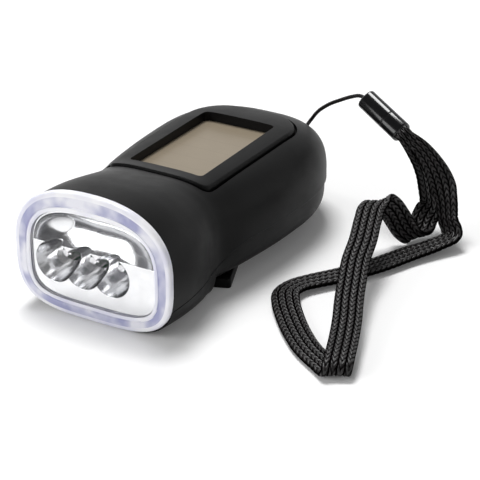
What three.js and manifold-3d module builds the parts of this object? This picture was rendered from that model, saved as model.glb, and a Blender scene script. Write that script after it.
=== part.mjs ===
// Hand crank and solar torch with three light emitting diodes.
// Millimetres, +Z up, lens towards -Y, tail towards +Y. The origin is on the ground under the
// middle of the torch.
import * as THREE from "three";
import { mergeVertices } from "three/addons/utils/BufferGeometryUtils.js";
import Module from "manifold-3d";

const wasm = await Module();
wasm.setup();

// Overall sizes of the torch
const LENGTH = 105;
const WIDTH = 52.8;
const HEAD_HEIGHT = 37.9;
const BODY_HEIGHT = 31.9;

// Walls and clearances
const WALL = 2;
const SEAT_GAP = 0.3;
const FIT_GAP = 0.15;
const RUNNING_GAP = 0.08;
const OVERRUN = 3;
const MERGE_DISTANCE = 1e-4;

// Fineness of the curved faces
const RING_POINTS = 28;
const HOLLOW_POINTS = 16;
const STATION_STEP = 8;
const TAIL_STEPS = 5;
const ROD_SIDES = 10;
const FINE_SIDES = 18;
const ARC_SEGMENTS = 4;

// Housing: distances run from the lens face to the tail, and heights from the ground. Places along
// the torch are shares of its length, and places across it are shares of its width.
const SHELL_FRONT = 1.9;
const TAIL_START = 0.6952 * LENGTH;
const FOOT_SINK = 0.3;
const BELLY_HEIGHT = 3.7;
const FOOT_END = 0.2667 * LENGTH;
const FOOT_SLOPE = 1.6;
const PARTING_HEAD = 9;
const PARTING_BODY = 13.3;
const PARTING_RISE_START = 0.219 * LENGTH;
const PARTING_RISE_END = 0.4286 * LENGTH;
const SKIRT_STEP = 0.5;

// Half width along the torch, as shares of the length and of half the width
const HALF_WIDTH_SHARES = [
  [0, 0.939],
  [0.043, 0.939],
  [0.095, 0.932],
  [0.152, 0.909],
  [0.21, 0.867],
  [0.257, 0.825],
  [0.29, 0.822],
  [0.333, 0.85],
  [0.39, 0.897],
  [0.467, 0.942],
  [0.562, 0.981],
  [0.638, 0.996],
  [0.695, 1],
];
// Top line, as shares of the length and of the rise from the body's height to the head's
const TOP_SHARES = [
  [0, 0.983],
  [0.043, 0.95],
  [0.095, 0.883],
  [0.152, 0.733],
  [0.21, 0.533],
  [0.257, 0.33],
  [0.305, 0.14],
  [0.371, -0.01],
  [0.505, -0.02],
  [0.695, 0],
];
// Height of the widest line, as shares of the length and of the head's height
const MIDDLE_SHARES = [
  [0, 0.493],
  [0.124, 0.462],
  [0.286, 0.422],
  [0.457, 0.39],
  [0.695, 0.369],
];
// Roundness of the section above the widest line, against shares of the length
const TOP_POWER_SHARES = [
  [0, 2.39],
  [0.086, 2.45],
  [0.2, 2.6],
  [0.276, 3],
  [0.39, 3.6],
  [0.505, 3.7],
  [0.695, 3.7],
];
// Roundness of the section below the widest line, against shares of the length
const BOTTOM_POWER_SHARES = [
  [0, 3.48],
  [0.124, 4.4],
  [0.238, 5.5],
  [0.362, 6.5],
  [0.695, 6.5],
];
const TAIL_PLAN_POWER = 2.3;
const TAIL_TOP_POWER = 2.7;
const TAIL_BOTTOM_POWER = 5;
const TAIL_END_POWER = 2.2;

// Lens
const LENS_HALF_WIDTH = 0.4735 * WIDTH;
const LENS_MIDDLE = 18.74;
const LENS_GROUND_GAP = 0.5;
const LENS_TOP_POWER = 2.39;
const LENS_BOTTOM_POWER = 3.48;
const LENS_RIM = 5;
const LENS_PLATE = 1.2;
const LENS_DEPTH = 1.6;
const LENS_EDGE = 0.7;
const SPIGOT_DEPTH = 5.5;

// Reflector and its light emitting diodes
const REFLECTOR_FLANGE = 1.2;
const REFLECTOR_WALL = 1;
const CUP_RADIUS = 0.1136 * WIDTH;
const CUP_THROAT = 3.1;
const CUP_DEPTH = 8.5;
const CUP_SPACING = 0.1742 * WIDTH;
const CUP_GROUP_SHIFT = -0.0682 * WIDTH;
const CUP_HEIGHT = 15.2;
const SCOOP_HALF_WIDTH = 0.3485 * WIDTH;
const SCOOP_HEIGHT = 12;
const SCOOP_DEPTH = 7;
const SCOOP_BASE = 18.6;
const LED_RADIUS = 2.5;
const LED_LENGTH = 8.6;
const LED_FLANGE_RADIUS = 2.9;
const LED_FLANGE = 1;
const LED_DOME_STEPS = 3;
const LED_BOARD_WIDTH = 0.6061 * WIDTH;
const LED_BOARD_HEIGHT = 14;
const LED_BOARD_THICKNESS = 1.2;
const LED_BOARD_FROM_LENS = 12.6;
const BOARD_RIB_WIDTH = 20;
const BOARD_RIB_THICKNESS = 4;
const BOARD_RIB_GRIP = 1.6;

// Solar bezel and panel
const BEZEL_FRONT = 0.2971 * LENGTH;
const BEZEL_LENGTH = 0.5552 * LENGTH;
const BEZEL_FRONT_WIDTH = 0.6212 * WIDTH;
const BEZEL_BACK_WIDTH = 0.6591 * WIDTH;
const BEZEL_FRONT_BOW = 1;
const BEZEL_FRONT_RADIUS = 3;
const BEZEL_BACK_RADIUS = 12;
const BEZEL_RISE = 0.6;
const BEZEL_EDGE = 0.6;
const GROOVE_WIDTH = 0.6;
const GROOVE_DEPTH = 1.3;
const WINDOW_FRONT = 0.3495 * LENGTH;
const WINDOW_LENGTH = 0.401 * LENGTH;
const WINDOW_WIDTH = 0.4545 * WIDTH;
const WINDOW_RADIUS = 1.6;
const PANEL_MARGIN = 1.5;
const PANEL_THICKNESS = 1.6;
const PANEL_DEPTH = 2.6;
const PANEL_TOP = BODY_HEIGHT - PANEL_DEPTH;
const LEDGE_THICKNESS = 1.8;
const LEDGE_REACH = 2.6;
const LEDGE_WALL = 1.6;

// Height between the floor and the ledge for the gear train, the board and the cell
const ROOM = PANEL_TOP - PANEL_THICKNESS - FIT_GAP - LEDGE_THICKNESS - BELLY_HEIGHT - WALL;

// Gear train: the module fills the room inside the shells, then come the teeth of each wheel and
// pinion, the levels above the floor and the way that each pair leans
const MODULES_ACROSS = 88;
const MODULES_ALONG = 175;
const MODULE = Math.min(WIDTH / MODULES_ACROSS, LENGTH / MODULES_ALONG);
const ADDENDUM_SHARE = 0.9;
const DEDENDUM_SHARE = 1.25;
const BACKLASH = 0.16;
const PRESSURE_ANGLE = 20;
const CRANK_WHEEL_TEETH = 56;
const FIRST_PINION_TEETH = 12;
const FIRST_WHEEL_TEETH = 44;
const SECOND_PINION_TEETH = 12;
const SECOND_WHEEL_TEETH = 40;
const ROTOR_PINION_TEETH = 10;
const FIRST_DIRECTION = -110;
const SECOND_DIRECTION = -20;
const ROTOR_DIRECTION = 240;
const GEAR_THICKNESS = 0.0998 * ROOM;
const LEVEL_PITCH = 0.1546 * ROOM;
const LEVEL_GAP = 0.3;
const LEVEL_COUNT = 3;
const AXLE_RADIUS = 0.75;
const AXLE_BOSS_RADIUS = 2;
const AXLE_BOSS_HEIGHT = 0.0698 * ROOM;
const PLATE_THICKNESS = 0.0698 * ROOM;
const PLATE_HALF_WIDTH = 0.2178 * WIDTH;
const PLATE_FRONT = 0.2238 * LENGTH;
const PLATE_BACK = 0.7857 * LENGTH;
const PLATE_TONGUE_BACK = 0.9381 * LENGTH;
const PLATE_TONGUE_HALF_WIDTH = 3.6;
const PLATE_CORNER = 3;
const POST_RADIUS = 2;
// Posts that carry the gear plate: sideways place and distance from the lens face
const PLATE_POSTS = { side: 0.178 * WIDTH, front: 0.2514 * LENGTH, back: 0.9095 * LENGTH };

// Generator
const MAGNET_RADIUS = 10.5 * MODULE;
const MAGNET_HEIGHT = 0.1995 * ROOM;
const ROTOR_HUB_RADIUS = 1.6;
const STATOR_INNER = 11.67 * MODULE;
const STATOR_OUTER = 17 * MODULE;
const STATOR_HEIGHT = 0.2494 * ROOM;
const CAN_WALL = 0.8;

// Crank
const CRANK_FROM_LENS = 0.7143 * LENGTH;
const CRANK_REACH = 0.421 * LENGTH;
const CRANK_HALF_WIDTH = 6;
const CRANK_HUB_RADIUS = 9.5;
const CRANK_THICKNESS = 3.2;
const CRANK_CORNER = 0.8;
const CRANK_REST_TURN = 21.6;
const CRANK_SHAFT_RADIUS = 3;
const CRANK_JOURNAL_RADIUS = 2;
const CRANK_SHAFT_END = 2.1;
const CRANK_SCREW_DEPTH = 0.15;
const BEARING_WALL = 1.8;
const KNOB_SLOT_WIDTH = 7;
const KNOB_SLOT_LENGTH = 24;
const KNOB_SLOT_END = 1.2;
const KNOB_THICKNESS = 2.8;
const KNOB_NECK_WIDTH = 4.4;
const KNOB_PIN_RADIUS = 0.6;
const KNOB_PIN_INSET = 3.2;
const KNOB_PIN_OVERLAP = 2;

// Switch on the left flank
const SWITCH_FROM_LENS = 0.2905 * LENGTH;
const SWITCH_HEIGHT = 0.5486 * BODY_HEIGHT;
const BUTTON_HALF_LENGTH = 4.5;
const BUTTON_HALF_HEIGHT = 3.1;
const BUTTON_PROUD = 1.3;
const BUTTON_FLANGE = 1;
const BUTTON_FLANGE_THICKNESS = 0.9;
const BUTTON_TRAVEL = 1;
const SWITCH_BODY_SIZE = 6.2;
const SWITCH_BODY_DEPTH = 0.062 * WIDTH;
const PLUNGER_RADIUS = 1.5;
const PLUNGER_GRIP_SHARE = 0.25;

// Case screws from below: the side of the torch that each is on and its distance from the lens face
const CASE_SCREWS = [
  { name: "case_screw_front_left", side: -1, from: 0.3905 * LENGTH },
  { name: "case_screw_front_right", side: 1, from: 0.3429 * LENGTH },
  { name: "case_screw_back_left", side: -1, from: 0.8667 * LENGTH },
  { name: "case_screw_back_right", side: 1, from: 0.8667 * LENGTH },
];
const SCREW_RADIUS = 1;
const SCREW_HEAD_RADIUS = 1.9;
const SCREW_HEAD_HEIGHT = 1.1;
const SCREW_DOME_SHARE = 0.7;
const SCREW_BOSS_RADIUS = 3;
const SCREW_BOSS_GAP = 0.36;
const SCREW_LENGTH = 11;
const SCREW_SEAT = 3;

// Main board and battery
const BOARD_FRONT = 0.5571 * LENGTH;
const BOARD_LENGTH = 0.2952 * LENGTH;
const BOARD_WIDTH = 0.4735 * WIDTH;
const BOARD_THICKNESS = 0.0599 * ROOM;
const BOARD_STANDOFF = 0.0948 * ROOM;
const STANDOFF_RADIUS = 1.5;
const CELL_RADIUS = 10;
const CELL_THICKNESS = 0.1596 * ROOM;
const HOLDER_WALL = 0.0349 * ROOM;
const HOLDER_HEIGHT = 0.1496 * ROOM;

// Cord: it is knotted inside the tail, leaves through the eye and ends at the bead. The places of
// the cord, the bead and the strap are measured from the foot of the tail's end.
const CORD_RADIUS = 0.6;
const CORD_SIDES = 8;
const CORD_STEPS = 24;
const KNOT_RADIUS = 1.2;
const KNOT_SIDES = 8;
const CORD_ROUTE = [
  [3, -4.6, 18],
  [3, -1.3, 18],
  [3.1, 0.9, 18],
  [4.4, 2.7, 18.9],
  [7, 2.8, 21.2],
  [9.2, 1.62, 23.96],
  [11.8, 1.3, 27.4],
  [15.9, 0.76, 30.78],
  [19.8, 0.56, 32.98],
  [23.5, 0.34, 34.82],
  [27, -0.8, 36.2],
  [29.2, -1.6, 36.1],
];

// Bead: ends, directions across it, half sizes and the rings of its outline
const BEAD_START = new THREE.Vector3(29.5, -1.7, 36);
const BEAD_END = new THREE.Vector3(44.6, -7.8, 30.3);
const BEAD_WIDE = new THREE.Vector3(0.482, 0.568, 0.668);
const BEAD_HALF_WIDTH = 3.2;
const BEAD_HALF_THICKNESS = 2.6;
const BEAD_SIDES = 16;
const BEAD_CORNER = 0.35;
const BEAD_GROOVE_SHARE = 0.62;
const BEAD_GROOVE = 0.2;

// Strap: centre of each place along it, then the direction of its width there
const STRAP_HALF_WIDTH = 4;
const STRAP_HALF_THICKNESS = 0.95;
const STRAP_END_HALF_WIDTH = 2.3;
const STRAP_NECK = 9;
const STRAP_STEPS = 72;
const STRAP_SIDES = 8;
const STRAP_ROUTE = [
  [44.5, -8.6, 29.4, 0.05, 0.74, -0.67],
  [45.8, -9, 28.6, 0.07, 0.8, -0.55],
  [46.8, -8.4, 26.4, 0.1, 0.95, -0.3],
  [47.4, -7, 23, 0.12, 0.99, 0],
  [48.74, -5.96, 19, 0.12, 0.99, 0],
  [50.94, -6.16, 14.5, 0.12, 0.99, 0],
  [53.24, -7.36, 9.8, 0.3, 0.93, 0.1],
  [54.7, -11.6, 6, 0.65, 0.72, 0.2],
  [55.36, -15.34, 3.9, 0.88, 0.35, 0.3],
  [54.76, -18.54, 3.6, 0.85, 0.1, 0.5],
  [52.18, -19.42, 5.4, 0.7, 0.3, 0.62],
  [50, -19.9, 8.6, 0.55, 0.5, 0.65],
  [48.6, -21.9, 12.2, 0.5, 0.6, 0.6],
  [47.2, -25.1, 14.8, 0.55, 0.7, 0.45],
  [47, -30.1, 15.6, 0.75, 0.6, 0.25],
  [48.3, -36.7, 14.6, 0.86, 0.5, 0],
  [51.1, -45.3, 12.6, 0.86, 0.5, 0],
  [53.3, -53.9, 10.6, 0.86, 0.5, 0],
  [56.3, -62, 8.8, 0.86, 0.5, 0],
  [59.5, -70.1, 7.2, 0.86, 0.5, 0],
  [63, -78, 5.9, 0.86, 0.5, 0],
  [66.3, -86.4, 5, 0.86, 0.5, 0],
  [68.9, -93.5, 4.6, 0.86, 0.5, 0],
  [70.2, -97.3, 3.9, 0.86, 0.5, 0],
  [70.2, -98.3, 2.6, 0.86, 0.5, 0],
  [69, -97.4, 1.5, 0.84, 0.54, 0],
  [65.6, -95.1, 1.25, 0.78, 0.62, 0],
  [57.8, -89.9, 1.2, 0.7, 0.71, 0],
  [51.7, -84.2, 1.2, 0.69, 0.72, 0],
  [46.1, -77.9, 1.25, 0.69, 0.72, 0],
  [40.8, -71.1, 1.6, 0.8, 0.6, 0.05],
  [38, -65.7, 2.3, 0.95, 0.25, 0.2],
  [38.6, -60.5, 2.8, 0.92, -0.2, 0.3],
  [41.7, -55.3, 2.9, 0.86, -0.38, 0.34],
  [45.9, -49.5, 2.9, 0.86, -0.38, 0.34],
  [52, -38.9, 2.9, 0.86, -0.38, 0.34],
  [57.2, -26.9, 2.9, 0.86, -0.38, 0.34],
  [61.6, -18.9, 3, 0.88, -0.38, 0.28],
  [64.4, -13.3, 3.8, 0.9, -0.4, 0.2],
  [62.36, -10, 7.2, 0.9, -0.42, 0.1],
  [60.48, -7.01, 12.4, 0.85, -0.5, 0.1],
  [56.91, -5.81, 17.8, 0.7, -0.7, 0.15],
  [53.1, -6.81, 23, 0.45, -0.85, 0.3],
  [49.9, -8.4, 27.8, 0.2, -0.85, 0.45],
  [48, -8.3, 30, 0.02, -0.78, 0.62],
  [45.7, -7.4, 30.9, -0.05, -0.74, 0.67],
];

const X_AXIS = new THREE.Vector3(1, 0, 0);
const Y_AXIS = new THREE.Vector3(0, 1, 0);
const Z_AXIS = new THREE.Vector3(0, 0, 1);

// Shape that the lens face, the shells and the hollow inside share

function along(fromLens) {
  return fromLens - LENGTH / 2;
}

function eased(value, start, end) {
  const t = Math.min(Math.max((value - start) / (end - start), 0), 1);
  return t * t * (3 - 2 * t);
}

// Smooth curve through a table of pairs, without overshoot between them
function curveAt(table, at) {
  const last = table.length - 1;
  const x = Math.min(Math.max(at, table[0][0]), table[last][0]);
  let i = 0;
  while (i < last - 1 && x > table[i + 1][0]) i += 1;
  const slope = (k) => (table[k + 1][1] - table[k][1]) / (table[k + 1][0] - table[k][0]);
  const tangent = (k) => {
    if (k === 0) return slope(0);
    if (k === last) return slope(last - 1);
    const before = slope(k - 1);
    const after = slope(k);
    return before * after <= 0 ? 0 : (2 * before * after) / (before + after);
  };
  const span = table[i + 1][0] - table[i][0];
  const t = (x - table[i][0]) / span;
  const a = table[i][1];
  const b = table[i + 1][1];
  const m = tangent(i) * span;
  const n = tangent(i + 1) * span;
  return a + t * m + t * t * (3 * (b - a) - 2 * m - n) + t * t * t * (2 * (a - b) + m + n);
}

function bottomAt(fromLens) {
  const belly = BELLY_HEIGHT + FOOT_SINK;
  return -FOOT_SINK + belly * eased(fromLens, FOOT_END, FOOT_END + FOOT_SLOPE);
}

// Sizes of the outer section at a distance from the lens face, drawn in by an inset
function sectionAt(fromLens, inset, skirt) {
  const at = Math.min(fromLens, TAIL_START) / LENGTH;
  const middle = HEAD_HEIGHT * curveAt(MIDDLE_SHARES, at);
  const top = BODY_HEIGHT + (HEAD_HEIGHT - BODY_HEIGHT) * curveAt(TOP_SHARES, at);
  const step = skirt * eased(fromLens, FOOT_END, PARTING_RISE_END);
  const half = (WIDTH / 2) * curveAt(HALF_WIDTH_SHARES, at) - inset - step;
  const past = (fromLens - TAIL_START) / (LENGTH - inset - step - TAIL_START);
  const u = Math.min(Math.max(past, 0), 1);
  const shrink = (power) => Math.pow(Math.max(1 - Math.pow(u, power), 0), 1 / power);
  const blunt = Math.sqrt(1 - u);
  const mix = (power) => TAIL_END_POWER + (power - TAIL_END_POWER) * blunt;
  return {
    y: along(fromLens),
    half: half * shrink(TAIL_PLAN_POWER),
    middle,
    up: (top - inset - middle) * shrink(TAIL_TOP_POWER),
    down: (middle - bottomAt(fromLens) - inset) * shrink(TAIL_BOTTOM_POWER),
    topPower: mix(curveAt(TOP_POWER_SHARES, at)),
    bottomPower: mix(curveAt(BOTTOM_POWER_SHARES, at)),
  };
}

// One closed ring of points round a section
function ringOf(section, count = RING_POINTS) {
  return Array.from({ length: count }, (_, i) => {
    const angle = (i / count) * Math.PI * 2;
    const c = Math.cos(angle);
    const s = Math.sin(angle);
    const power = s >= 0 ? section.topPower : section.bottomPower;
    const x = section.half * Math.sign(c) * Math.pow(Math.abs(c), 2 / power);
    const reach = s >= 0 ? section.up : -section.down;
    return new THREE.Vector3(x, section.y, section.middle + reach * Math.pow(Math.abs(s), 2 / power));
  });
}

// Closed solid through a row of rings, with a fan at each end
function loft(rings) {
  const points = rings.flat();
  const count = rings[0].length;
  const index = [];
  for (let r = 0; r < rings.length - 1; r += 1) {
    for (let i = 0; i < count; i += 1) {
      const a = r * count + i;
      const b = r * count + ((i + 1) % count);
      index.push(a, b, b + count, a, b + count, a + count);
    }
  }
  const fan = (start, order) => {
    const ring = points.slice(start, start + count);
    const centre = ring.reduce((sum, p) => sum.add(p), new THREE.Vector3()).divideScalar(count);
    points.push(centre);
    for (let i = 0; i < count; i += 1) {
      const pair = [start + i, start + ((i + 1) % count)];
      index.push(points.length - 1, pair[order], pair[1 - order]);
    }
  };
  fan(0, 1);
  fan((rings.length - 1) * count, 0);
  const geometry = new THREE.BufferGeometry().setFromPoints(points);
  geometry.setIndex(index);
  return closed(geometry);
}

// Distances from the lens face at which the housing has a ring
function stations(start, end) {
  const steps = Math.ceil((TAIL_START - start) / STATION_STEP);
  const straight = Array.from({ length: steps + 1 }, (_, i) => start + ((TAIL_START - start) * i) / steps);
  const clear = straight.filter((s) => s < FOOT_END - FOOT_SLOPE || s > FOOT_END + 2 * FOOT_SLOPE);
  const foot = [FOOT_END, FOOT_END + FOOT_SLOPE / 2, FOOT_END + FOOT_SLOPE];
  const tail = Array.from({ length: TAIL_STEPS }, (_, i) => {
    const angle = ((i + 1) / TAIL_STEPS) * (Math.PI / 2);
    return TAIL_START + (end - TAIL_START) * Math.sin(angle);
  });
  return [...clear, ...foot, ...tail].sort((a, b) => a - b);
}

function housingSolid(start, inset, skirt, count = RING_POINTS) {
  const end = LENGTH - inset - skirt;
  return loft(stations(start, end).map((s) => ringOf(sectionAt(s, inset, skirt), count)));
}

// Section of the lens, drawn in by an inset
function lensSection(fromLens, inset) {
  return {
    y: along(fromLens),
    half: LENS_HALF_WIDTH - inset,
    middle: LENS_MIDDLE,
    up: HEAD_HEIGHT - LENS_MIDDLE - inset,
    down: LENS_MIDDLE - LENS_GROUND_GAP - inset,
    topPower: LENS_TOP_POWER,
    bottomPower: LENS_BOTTOM_POWER,
  };
}

function lensSolid(...pairs) {
  return loft(pairs.map(([fromLens, inset]) => ringOf(lensSection(fromLens, inset))));
}

// Solids from closed geometries

function closed(geometry) {
  const bare = geometry.index ? geometry.toNonIndexed() : geometry.clone();
  bare.deleteAttribute("normal");
  bare.deleteAttribute("uv");
  const merged = mergeVertices(bare, MERGE_DISTANCE);
  const source = Array.from(merged.index.array);
  const corners = [];
  for (let i = 0; i < source.length; i += 3) {
    const [a, b, c] = source.slice(i, i + 3);
    if (a !== b && b !== c && c !== a) corners.push(a, b, c);
  }
  const make = (triVerts) =>
    new wasm.Manifold(
      new wasm.Mesh({
        numProp: 3,
        vertProperties: merged.attributes.position.array,
        triVerts: new Uint32Array(triVerts),
      }),
    );
  const solid = make(corners);
  return solid.volume() < 0 ? make(corners.reverse()) : solid;
}

function placed(geometry, x, y, z) {
  const basis = new THREE.Matrix4().makeBasis(x, y, z);
  return closed(geometry.applyMatrix4(basis));
}

function extrusion(low, high) {
  return { depth: high - low, bevelEnabled: false, curveSegments: ARC_SEGMENTS };
}

// Straight bar of an outline, along Z, Y or X
function barZ(shape, low, high) {
  const geometry = new THREE.ExtrudeGeometry(shape, extrusion(low, high));
  return closed(geometry.translate(0, 0, low));
}

function barY(shape, low, high) {
  const geometry = new THREE.ExtrudeGeometry(shape, extrusion(low, high));
  return placed(geometry.translate(0, 0, low), X_AXIS, Z_AXIS, Y_AXIS);
}

function barX(shape, low, high) {
  const geometry = new THREE.ExtrudeGeometry(shape, extrusion(low, high));
  return placed(geometry.translate(0, 0, low), Y_AXIS, Z_AXIS, X_AXIS);
}

function block(x, y, z) {
  const [width, depth, height] = [x[1] - x[0], y[1] - y[0], z[1] - z[0]];
  const geometry = new THREE.BoxGeometry(width, depth, height);
  return closed(geometry.translate((x[0] + x[1]) / 2, (y[0] + y[1]) / 2, (z[0] + z[1]) / 2));
}

// Turned solids: a profile of radius and height pairs that starts and ends on the axis
function turned(profile, sides) {
  const points = profile.map(([radius, height]) => new THREE.Vector2(radius, height));
  return new THREE.LatheGeometry(points, sides);
}

function turnedZ(profile, x, y, sides) {
  return placed(turned(profile, sides), X_AXIS, Z_AXIS, Y_AXIS).translate([x, y, 0]);
}

function turnedY(profile, x, z, sides) {
  return closed(turned(profile, sides)).translate([x, 0, z]);
}

function turnedX(profile, y, z, sides) {
  return placed(turned(profile, sides), Y_AXIS, X_AXIS, Z_AXIS).translate([0, y, z]);
}

function span(radius, low, high) {
  return [
    [0, low],
    [radius, low],
    [radius, high],
    [0, high],
  ];
}

function rodZ(radius, low, high, x, y, sides = ROD_SIDES) {
  return turnedZ(span(radius, low, high), x, y, sides);
}

function joined(...solids) {
  return solids.reduce((sum, solid) => sum.add(solid));
}

function cutBy(solid, ...cutters) {
  return cutters.reduce((rest, cutter) => rest.subtract(cutter), solid);
}

// Outlines

function roundedBox(halfWidth, halfHeight, radius, centreX = 0, centreY = 0) {
  const r = Math.min(radius, halfWidth, halfHeight);
  const shape = new THREE.Shape();
  const corner = (sx, sy, start) =>
    shape.absarc(centreX + sx * (halfWidth - r), centreY + sy * (halfHeight - r), r, start, start + Math.PI / 2);
  corner(1, -1, -Math.PI / 2);
  corner(1, 1, 0);
  corner(-1, 1, Math.PI / 2);
  corner(-1, -1, Math.PI);
  shape.closePath();
  return shape;
}

// Plan outline of the solar bezel, grown by an offset
function bezelOutline(grow) {
  const front = along(BEZEL_FRONT) - grow;
  const back = along(BEZEL_FRONT + BEZEL_LENGTH) + grow;
  const halfFront = BEZEL_FRONT_WIDTH / 2 + grow;
  const halfBack = BEZEL_BACK_WIDTH / 2 + grow;
  const frontRadius = BEZEL_FRONT_RADIUS + grow;
  const backRadius = BEZEL_BACK_RADIUS + grow;
  const shape = new THREE.Shape();
  shape.moveTo(-halfFront + frontRadius, front + BEZEL_FRONT_BOW);
  shape.quadraticCurveTo(0, front - BEZEL_FRONT_BOW, halfFront - frontRadius, front + BEZEL_FRONT_BOW);
  shape.quadraticCurveTo(halfFront, front + BEZEL_FRONT_BOW, halfFront, front + BEZEL_FRONT_BOW + frontRadius);
  shape.quadraticCurveTo(halfBack, (front + back) / 2, halfBack, back - backRadius);
  shape.absarc(halfBack - backRadius, back - backRadius, backRadius, 0, Math.PI / 2);
  shape.absarc(-halfBack + backRadius, back - backRadius, backRadius, Math.PI / 2, Math.PI);
  shape.quadraticCurveTo(-halfBack, (front + back) / 2, -halfFront, front + BEZEL_FRONT_BOW + frontRadius);
  shape.quadraticCurveTo(-halfFront, front + BEZEL_FRONT_BOW, -halfFront + frontRadius, front + BEZEL_FRONT_BOW);
  return shape;
}

function windowOutline(grow) {
  const centre = along(WINDOW_FRONT + WINDOW_LENGTH / 2);
  return roundedBox(WINDOW_WIDTH / 2 + grow, WINDOW_LENGTH / 2 + grow, WINDOW_RADIUS + grow, 0, centre);
}

// Heights and places that several pieces share

const PANEL_BOTTOM = PANEL_TOP - PANEL_THICKNESS;
const LEDGE_TOP = PANEL_BOTTOM - FIT_GAP;
const FLOOR = BELLY_HEIGHT + WALL;
const LEVELS_START = FLOOR + AXLE_BOSS_HEIGHT + LEVEL_GAP;
const PLATE_LOW = LEVELS_START + LEVEL_COUNT * LEVEL_PITCH - LEVEL_GAP / 2;
const PLATE_HIGH = PLATE_LOW + PLATE_THICKNESS;
const BOARD_LOW = PLATE_HIGH + BOARD_STANDOFF + FIT_GAP;
const BOARD_HIGH = BOARD_LOW + BOARD_THICKNESS;
const FLANGE_TOP = SWITCH_HEIGHT + BUTTON_HALF_HEIGHT + BUTTON_FLANGE;
const FLANK_OUTER = sectionAt(SWITCH_FROM_LENS, 0, 0).half;
const FLANK_INNER = halfWidthAt(SWITCH_FROM_LENS, FLANGE_TOP, WALL) - FIT_GAP;

// Half width of the section at a height above its widest line
function halfWidthAt(fromLens, height, inset) {
  const section = sectionAt(fromLens, inset, 0);
  const share = (height - section.middle) / section.up;
  return section.half * Math.pow(1 - Math.pow(share, section.topPower), 1 / section.topPower);
}

function pitchRadius(teeth) {
  return (MODULE * teeth) / 2;
}

function stepFrom(place, degrees, teethA, teethB) {
  const distance = pitchRadius(teethA) + pitchRadius(teethB);
  const angle = THREE.MathUtils.degToRad(degrees);
  return new THREE.Vector2(place.x + distance * Math.cos(angle), place.y + distance * Math.sin(angle));
}

const HUB = new THREE.Vector2(0, along(CRANK_FROM_LENS));
const FIRST = stepFrom(HUB, FIRST_DIRECTION, CRANK_WHEEL_TEETH, FIRST_PINION_TEETH);
const SECOND = stepFrom(FIRST, SECOND_DIRECTION, FIRST_WHEEL_TEETH, SECOND_PINION_TEETH);
const ROTOR = stepFrom(SECOND, ROTOR_DIRECTION, SECOND_WHEEL_TEETH, ROTOR_PINION_TEETH);

function levelBase(level) {
  return LEVELS_START + level * LEVEL_PITCH;
}

// Region under the parting line, moved up or down by a gap
function belowParting(shift) {
  const shape = new THREE.Shape();
  const low = -OVERRUN - FOOT_SINK;
  shape.moveTo(along(0), low);
  shape.lineTo(along(LENGTH + OVERRUN), low);
  shape.lineTo(along(LENGTH + OVERRUN), PARTING_BODY + shift);
  const steps = Math.ceil((PARTING_RISE_END - PARTING_RISE_START) / STATION_STEP);
  for (let i = steps; i >= 0; i -= 1) {
    const s = PARTING_RISE_START + ((PARTING_RISE_END - PARTING_RISE_START) * i) / steps;
    const rise = (PARTING_BODY - PARTING_HEAD) * eased(s, PARTING_RISE_START, PARTING_RISE_END);
    shape.lineTo(along(s), PARTING_HEAD + rise + shift);
  }
  shape.lineTo(along(0), PARTING_HEAD + shift);
  return barX(shape, -WIDTH, WIDTH);
}

// Shells

function innerHollow(skirt) {
  return housingSolid(0, WALL, skirt, HOLLOW_POINTS);
}

// Socket in the front of the shells for the lens's spigot
function lensSocket() {
  const end = LENS_DEPTH + SPIGOT_DEPTH + SEAT_GAP;
  return lensSolid([0, WALL], [end, WALL]);
}

function buttonHole(grow, low, high) {
  const shape = roundedBox(
    BUTTON_HALF_LENGTH + grow,
    BUTTON_HALF_HEIGHT + grow,
    BUTTON_HALF_HEIGHT + grow,
    along(SWITCH_FROM_LENS),
    SWITCH_HEIGHT,
  );
  return barX(shape, low, high);
}

function upperShell() {
  const outer = housingSolid(SHELL_FRONT, 0, 0);
  const high = HEAD_HEIGHT + OVERRUN;
  const well = barZ(bezelOutline(LEDGE_WALL), LEDGE_TOP - LEDGE_THICKNESS, high).intersect(outer);
  const bosses = CASE_SCREWS.map((screw) =>
    rodZ(SCREW_BOSS_RADIUS, PARTING_BODY + SEAT_GAP, BODY_HEIGHT, ...screwPlace(screw)).intersect(outer),
  );
  const pilots = CASE_SCREWS.map((screw) =>
    rodZ(SCREW_RADIUS + FIT_GAP, 0, screwTip() + FIT_GAP, ...screwPlace(screw)),
  );
  const walls = joined(outer.subtract(innerHollow(0)), well, ...bosses);
  const pocket = barZ(bezelOutline(SEAT_GAP), LEDGE_TOP, high);
  const passage = barZ(windowOutline(PANEL_MARGIN - LEDGE_REACH), 0, high);
  return cutBy(
    walls,
    pocket,
    passage,
    grooveRound(),
    lensSocket(),
    belowParting(SEAT_GAP),
    buttonHole(SEAT_GAP, -WIDTH, 0),
    eyeHole(),
    ...pilots,
  );
}

// Groove round the bezel, which leaves the bezel's edge standing above the shell
function grooveRound() {
  const ring = barZ(bezelOutline(SEAT_GAP + GROOVE_WIDTH), 0, BODY_HEIGHT + HEAD_HEIGHT);
  return ring.subtract(housingSolid(0, GROOVE_DEPTH, 0));
}

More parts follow.
